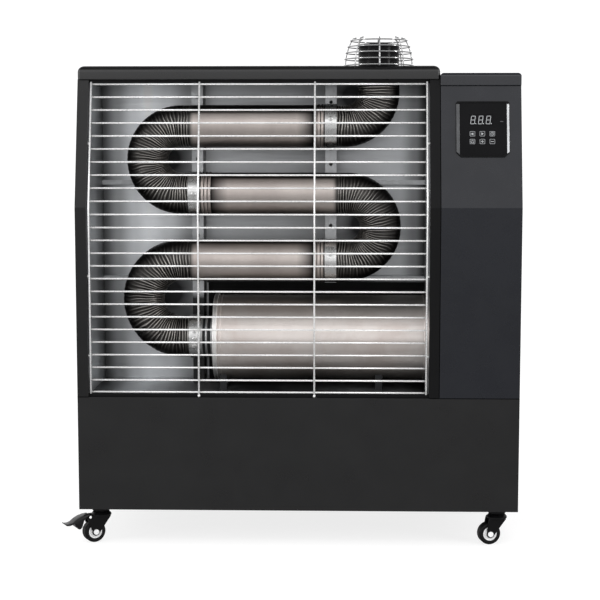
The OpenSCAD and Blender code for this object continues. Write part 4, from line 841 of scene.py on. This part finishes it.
# the outline from the pin, with the curled tip on the right and the brake shoe below
PEDAL = [(-2.0, 1.0), (-1.4, 3.2), (1.0, 4.2), (8.0, 3.9), (17.0, 1.6), (25.0, -2.4), (31.0, -7.0), (37.0, -8.9),
         (42.0, -8.6), (44.0, -7.8), (43.6, -9.6), (41.5, -11.4), (36.0, -12.0), (30.5, -10.6), (27.6, -9.2),
         (26.0, -12.6), (23.2, -17.2), (20.0, -19.8), (17.0, -19.9), (15.0, -17.4), (13.0, -10.4), (10.0, -4.0),
         (2.0, -3.0), (-1.2, -1.4)]
for key in ("front_left", "rear_right"):
    spin = swivel(key)
    half = HALF_W + 0.4
    rings = [(-half, 1.0), (-half + 0.25, 0.3), (-half + 0.9, 0.0), (half - 0.9, 0.0), (half - 0.25, 0.3), (half, 1.0)]
    verts, m = [], len(PEDAL)
    for y, inset in rings:
        for i, (u, z) in enumerate(PEDAL):
            a, b = PEDAL[i - 1], PEDAL[(i + 1) % m]
            tu, tz = b[0] - a[0], b[1] - a[1]
            d = math.hypot(tu, tz)
            ahead, up = PIN[0] + u - tz / d * inset, PIN[1] + z - tu / d * inset
            verts.append(spin @ Vector((ahead * MM, y * MM, up * MM)))
    faces = bands(len(rings), m) + [tuple(range(m)), tuple(range((len(rings) - 1) * m, len(rings) * m))[::-1]]
    slot = slot_of["pedal_" + key]
    o = mesh_object("pedal_skin_" + key, verts, faces, MATS[slot])
    tidy(o, 28)
    settle(o, "brake_" + key, slot, "pedal_" + key)

# -------------------------------------------------------------- the controls

BEZEL_X, BEZEL_Z, BEZEL_W, BEZEL_H, PROUD = 309.5, 709.5, 89.5, 95.0, 3.0
# from the panel's own frame, with y out of the leaning column, to the cabinet's
SLOPE = Matrix.Translation((BEZEL_X * MM, front_at(BEZEL_Z) * MM, BEZEL_Z * MM)) @ Matrix.Rotation(-LEAN, 4, "X")


def relief(name, outlines, y_back, y_front, mat, bevel_w=0.0):
    """Closed XZ outlines (mm) raised from y_back to y_front on the leaning face, with an optional chamfer."""
    bm = bmesh.new()
    for loop in outlines:
        rings = []
        steps = [(y_back, 0.0), (y_front, 0.0)] if not bevel_w else [
            (y_back, 0.0), (y_front + bevel_w, 0.0), (y_front + bevel_w * 0.3, bevel_w * 0.3), (y_front, bevel_w)]
        cx = sum(p[0] for p in loop) / len(loop)
        cz = sum(p[1] for p in loop) / len(loop)
        for y, inset in steps:
            ring = []
            for x, z in loop:
                d = math.hypot(x - cx, z - cz) or 1.0
                k = max(0.0, 1 - inset / d)
                ring.append(bm.verts.new(SLOPE @ Vector(((cx + (x - cx) * k) * MM, y * MM, (cz + (z - cz) * k) * MM))))
            rings.append(ring)
        for a, b in zip(rings, rings[1:]):
            for i in range(len(loop)):
                k = (i + 1) % len(loop)
                bm.faces.new((a[i], a[k], b[k], b[i]))
        bm.faces.new(rings[-1])
    bmesh.ops.recalc_face_normals(bm, faces=bm.faces)
    return bmesh_object(name, bm, mat)


def chamfered(w, h, c, c_up):
    return [(-w / 2 + c_up, h / 2), (w / 2 - c_up, h / 2), (w / 2, h / 2 - c_up), (w / 2, -h / 2 + c),
            (w / 2 - c, -h / 2), (-w / 2 + c, -h / 2), (-w / 2, -h / 2 + c), (-w / 2, h / 2 - c_up)]


def round_rect(cx, cz, w, h, r, n=5):
    pts = []
    for sx, sz, a in ((1, 1, 0), (-1, 1, 90), (-1, -1, 180), (1, -1, 270)):
        pts += arc_points(cx + sx * (w / 2 - r), cz + sz * (h / 2 - r), r, a, a + 90, n)
    return pts


def framed(outer, inner):
    """Quads between two outlines with the same number of points."""
    n = len(outer)
    return [[outer[i], outer[(i + 1) % n], inner[(i + 1) % n], inner[i]] for i in range(n)]


def stroke(points, w):
    """Quads along a line of points."""
    out = []
    for (x0, z0), (x1, z1) in zip(points, points[1:]):
        d = math.hypot(x1 - x0, z1 - z0)
        nx, nz = -(z1 - z0) / d * w / 2, (x1 - x0) / d * w / 2
        out.append([(x0 + nx, z0 + nz), (x0 - nx, z0 - nz), (x1 - nx, z1 - nz), (x1 + nx, z1 + nz)])
    return out


# bezel: a chamfered frame whose sides slope back to the column
rings = [(chamfered(BEZEL_W, BEZEL_H, 8, 2.7), 0.0), (chamfered(BEZEL_W, BEZEL_H, 8, 2.7), -0.9),
         (chamfered(BEZEL_W - 0.8, BEZEL_H - 0.8, 7.9, 2.6), -1.2),
         (chamfered(BEZEL_W - 5.6, BEZEL_H - 3.4, 6.8, 2.3), -PROUD + 0.15),
         (chamfered(BEZEL_W - 6.4, BEZEL_H - 4.0, 6.6, 2.2), -PROUD),
         (chamfered(BEZEL_W - 9.0, BEZEL_H - 4.8, 6.2, 2.0), -PROUD + 0.05),
         (chamfered(BEZEL_W - 9.0, BEZEL_H - 4.8, 6.2, 2.0), -0.6)]
verts = [SLOPE @ Vector((x * MM, y * MM, z * MM)) for loop, y in rings for x, z in loop]
bezel = mesh_object("bezel_frame", verts, bands(len(rings), 8), MATS["bezel_plastic"])
tidy(bezel, 20)
settle(bezel, "cabinet", "bezel_plastic")

# trims along the bezel's left and right sides: the left one painted in shade, the right one painted lit
for side, color in ((-1, (0.105, 0.107, 0.110)), (1, (0.62, 0.63, 0.64))):
    lit_shaded_satin = cast_metal("bezel_trim_%d" % side, color, rough=0.3)
    x_in, x_out = BEZEL_W / 2 - (6.0 if side < 0 else 4.2), BEZEL_W / 2 - 0.2
    bar_at = [(x_in, -PROUD - 0.15), (x_out - 0.5, -PROUD - 0.12), (x_out, -PROUD + 0.6), (x_out, -0.4), (x_in, -0.4)]
    # the lower end is cut along the bezel's chamfer
    ends = ([-BEZEL_H / 2 + 8.5 - 0.7 * (x_out - q) for q, y in bar_at], [BEZEL_H / 2 - 4.6] * 5)
    verts = [SLOPE @ Vector((side * q * MM, y * MM, z * MM)) for end in ends for (q, y), z in zip(bar_at, end)]
    faces = bands(2, 5) + [tuple(range(5)), tuple(range(9, 4, -1))]
    trim = mesh_object("bezel_trim_left" if side < 0 else "bezel_trim_right", verts, faces, lit_shaded_satin, smooth=False)
    tidy(trim)
    settle(trim, "cabinet", "bezel_plastic")

mark_mat = mottled("panel_print", (0.62, 0.63, 0.64), 900.0, (0.30, 0.31, 0.32), (0.42, 0.43, 0.44), 0.4,
                   glow=((0.8, 0.82, 0.84), 0.02))
digit_mat = mottled("display_segments", (0.7, 0.72, 0.74), 700.0, (0.34, 0.35, 0.36), (0.44, 0.45, 0.46), 0.35,
                    glow=((0.9, 0.92, 0.95), 0.08))

GLASS_Y = -PROUD + 0.6
DIGIT_H, DIGIT_W, DIGIT_PITCH, DIGIT_LEAN = 14.2, 7.4, 12.9, 0.14
DISPLAY_X, DISPLAY_UP = -2.6, 15.6
segments = []
for k in (-1, 0, 1):
    ox = DISPLAY_X + k * DIGIT_PITCH - 0.8
    hw, hh, t = DIGIT_W / 2, DIGIT_H / 2, 0.95

    def bar(x0, z0, x1, z1):
        d = math.hypot(x1 - x0, z1 - z0)
        ux, uz = (x1 - x0) / d, (z1 - z0) / d
        pts = [(0.15, 0), (t / 2, t / 2 - 0.1), (d - t / 2, t / 2 - 0.1), (d - 0.15, 0),
               (d - t / 2, -t / 2 + 0.1), (t / 2, -t / 2 + 0.1)]
        out = []
        for p, q in pts:
            x, z = x0 + ux * p - uz * q, z0 + uz * p + ux * q
            out.append((ox + x + z * DIGIT_LEAN, DISPLAY_UP + z))
        return out

    for z in (-hh + t / 2, 0, hh - t / 2):
        segments.append(bar(-hw + t / 2, z, hw - t / 2, z))
    for x in (-hw + t / 2, hw - t / 2):
        segments.append(bar(x, -hh + t / 2, x, 0))
        segments.append(bar(x, 0, x, hh - t / 2))
    segments.append(arc_points(ox + hw + 0.9, DISPLAY_UP - hh + 0.8, 0.85, 0, 330, 11))
digits = relief("display_digits", segments, GLASS_Y + 0.02, GLASS_Y - 0.06, digit_mat)
settle(digits, "cabinet", "touch_glass")
window = round_rect(DISPLAY_X, DISPLAY_UP, 39.6, 17.6, 1.0)
lens = relief("display_lens", [window], -1.0, GLASS_Y, MATS["touch_glass"], 0.12)
settle(lens, "cabinet", "touch_glass")

marks = []
KEY_X, KEY_Z = (-17.4, -0.8, 15.8), (-8.0, -21.2)
for x in KEY_X:
    for z in KEY_Z:
        marks += framed(round_rect(x, z, 8.6, 8.2, 0.9), round_rect(x, z, 7.7, 7.3, 0.6))
# upper keys: back, start, clock; lower keys: power, plus, minus
x, z = KEY_X[0], KEY_Z[0]
marks += [[(x + 1.5, z + 2.2), (x - 2.1, z - 0.2), (x + 1.5, z - 2.6)]]
marks += stroke([(x - 2.4, z - 2.2), (x - 2.4, z + 1.8)], 0.6)
x = KEY_X[1]
marks += [[(x - 1.5, z + 2.3), (x - 1.5, z - 2.3), (x + 2.3, z)]]
x = KEY_X[2]
marks += stroke(arc_points(x, z, 2.5, 0, 360, 16), 0.65) + stroke([(x, z + 1.6), (x, z), (x + 1.4, z - 0.9)], 0.6)
x, z = KEY_X[0], KEY_Z[1]
marks += stroke(arc_points(x, z - 0.2, 2.4, 130, 410, 14), 0.7) + stroke([(x, z + 0.2), (x, z + 2.9)], 0.7)
x = KEY_X[1]
marks += stroke([(x - 2.5, z), (x + 2.5, z)], 0.95) + stroke([(x, z - 2.5), (x, z + 2.5)], 0.95)
x = KEY_X[2]
marks += stroke([(x - 2.5, z), (x + 2.5, z)], 0.95)
print_o = relief("panel_marks", marks, GLASS_Y + 0.02, GLASS_Y - 0.05, mark_mat)
settle(print_o, "cabinet", "touch_glass")
faint = mottled("receiver_window", (0.05, 0.05, 0.055), 500.0, (0.04, 0.04, 0.045), (0.07, 0.07, 0.075), 0.25)
eye = relief("signal_window", [round_rect(31.8, 13.0, 5.2, 1.3, 0.6)], GLASS_Y + 0.02, GLASS_Y - 0.08, faint, 0.05)
settle(eye, "cabinet", "touch_glass")

# ---------------------------------------------------------------- the screws


def screw_head(verts, faces, at, out, twist, r=4.0, high=2.6, cross=2.3):
    """A pan head with a cross recess; at is its seat, out the way it faces."""
    z = Vector(out).normalized()
    x = z.orthogonal().normalized()
    y = z.cross(x)
    x, y = x * math.cos(twist) + y * math.sin(twist), y * math.cos(twist) - x * math.sin(twist)
    ang, rad = 48, [0.0, 0.25, 0.45, 0.55, 0.8, 1.1, 1.4, 1.7, 2.0, 2.2, 2.35, 2.7, 3.1, 3.5, 3.8, 4.0]
    base = len(verts)
    for q in rad:
        for j in range(ang):
            a = 2 * math.pi * j / ang
            u, v = q * math.cos(a), q * math.sin(a)
            dome = high * math.sqrt(max(0.0, 1 - (q / (r * 1.03)) ** 2)) * 0.55 + high * 0.45
            if q >= 3.99:
                dome = high * 0.42
            m, n = max(abs(u), abs(v)), min(abs(u), abs(v))
            if m < cross and n < 0.48:
                dome -= 1.3 * (1 - m / cross * 0.55)
            verts.append((Vector(at) + x * u + y * v + z * dome) * MM)
    for j in range(ang):
        a = 2 * math.pi * j / ang
        verts.append((Vector(at) + x * r * math.cos(a) + y * r * math.sin(a)) * MM)
    faces += bands(len(rad) + 1, ang, base)


CLAMP_R, FLANGE_Z, REAR_Y = 38.2, 790.0, 185.0
places = []
for x, z, angles in ((RIGHT_CLAMP, ROW1_Z, (19,)), (LEFT_CLAMP, ROW2_Z, (0,)), (RIGHT_CLAMP, ROW3_Z, (20,)),
                     (LEFT_CLAMP, CHAMBER_Z, (-20, 0, 20))):
    for a in angles:
        c, s = math.cos(math.radians(a)), math.sin(math.radians(a))
        places.append(((x, AXIS_Y - CLAMP_R * c, z + CLAMP_R * s), (0, -c, s)))
for a in range(45, 316, 90):
    c, s = math.cos(math.radians(a)), math.sin(math.radians(a))
    places.append(((FLUE_X + 45 * c, AXIS_Y + 45 * s, FLANGE_Z), (0, 0, -1)))
rear = [(x, z) for x in (-349, -60, 223) for z in (269, 780)]
rear += [(x, z) for x in (253, 349) for z in (287, 763.5)]
rear += [(x, z) for x in (-349, 0, 349) for z in (78, 241)]
places += [((x, REAR_Y, z), (0, 1, 0)) for x, z in rear]
verts, faces = [], []
for i, (at, out) in enumerate(places):
    screw_head(verts, faces, at, out, 0.4 + i * 1.7)
heads = mesh_object("screw_heads", verts, faces, MATS["zinc_plate"])
tidy(heads, 40)
settle(heads, "cabinet", "zinc_plate", "screws")

# ---------------------------------------------------------------- stage, light

cyc = bmesh.new()
profile = [(-9.0, 0.0), (2.6, 0.0)]
profile += [(2.6 + 1.4 * math.sin(math.radians(a)), 1.4 - 1.4 * math.cos(math.radians(a))) for a in range(10, 91, 10)]
profile += [(4.0, 6.0)]
rows = [[cyc.verts.new((x, y, z - 0.0003)) for y, z in profile] for x in (-8.0, 8.0)]
for i in range(len(profile) - 1):
    cyc.faces.new((rows[0][i], rows[1][i], rows[1][i + 1], rows[0][i + 1]))
paper = mottled("studio_paper", (0.90, 0.90, 0.90), 3.0, (0.24, 0.24, 0.24), (0.25, 0.25, 0.25), 0.9, spec=0.1,
                glow=((1, 1, 1), 0.80))
floor = bmesh_object("studio_floor", cyc, paper)
floor.data.polygons.foreach_set("use_smooth", [True] * len(floor.data.polygons))
floor.visible_glossy = False

# a studio that is brightest a little above the horizon, dim overhead and below; white to the camera
world = bpy.data.worlds.new("studio")
scene.world = world
world.use_nodes = True
nt = world.node_tree
background = nt.nodes["Background"]
way = split_xyz(nt, add(nt, "ShaderNodeTexCoord").outputs["Generated"])
# elevation in degrees, brightness
SKY = [(-90, 0.15), (-60, 0.25), (-40, 0.34), (-20, 0.40), (-10, 0.44), (-3, 0.52), (4, 0.98), (12, 1.12),
       (25, 1.50), (34, 1.35), (43, 0.70), (54, 0.25), (68, 0.10), (90, 0.04)]
ramp = grey_ramp(nt, remap(nt, way["Z"], -1.0, 1.0, 0.0, 1.0),
                 [(0.5 + 0.5 * math.sin(math.radians(at)), level) for at, level in SKY], blue=1.01)
side = remap(nt, way["X"], -1.0, 1.0, 1.15, 0.85)
level = mix(nt, 1.0, ramp.outputs["Color"], side, "MULTIPLY")
seen = add(nt, "ShaderNodeLightPath").outputs["Is Camera Ray"]
link(nt, mix(nt, seen, level, (1.0, 1.0, 1.0)), background.inputs["Color"])


def area_light(name, at, to, size, power, size_y, shine=True):
    d = bpy.data.lights.new(name, "AREA")
    d.shape = "RECTANGLE"
    d.size, d.size_y, d.energy = size, size_y, power
    o = bpy.data.objects.new(name, d)
    o.location = at
    o.rotation_euler = (Vector(to) - Vector(at)).to_track_quat("-Z", "Y").to_euler()
    o.visible_glossy = shine
    scene.collection.objects.link(o)


area_light("overhead", (0, 0.4, 3.6), (0, 0.4, 0), 4.5, 110, 4.5, shine=False)
area_light("front_high", (-0.5, -2.4, 3.4), (0, 0, 0.6), 2.2, 30, 1.0, shine=False)
area_light("strip_left", (-2.6, -1.5, 1.2), (0, 0, 0.7), 0.35, 14, 2.0)
area_light("strip_right", (2.6, -1.6, 1.2), (0, 0, 0.7), 0.35, 22, 2.0)

# the camera's place, angles and lens were solved from the photograph's lines
cam = bpy.data.cameras.new("camera")
cam.sensor_width = 36.0
cam.lens = 88.56
camera = bpy.data.objects.new("camera", cam)
camera.location = (0.0720, -2.6695, 0.6833)
camera.rotation_euler = (math.radians(84.01), 0, math.radians(1.58))
scene.collection.objects.link(camera)
scene.camera = camera
scene.view_settings.view_transform = "Standard"
scene.view_settings.look = "None"

bpy.context.view_layer.update()
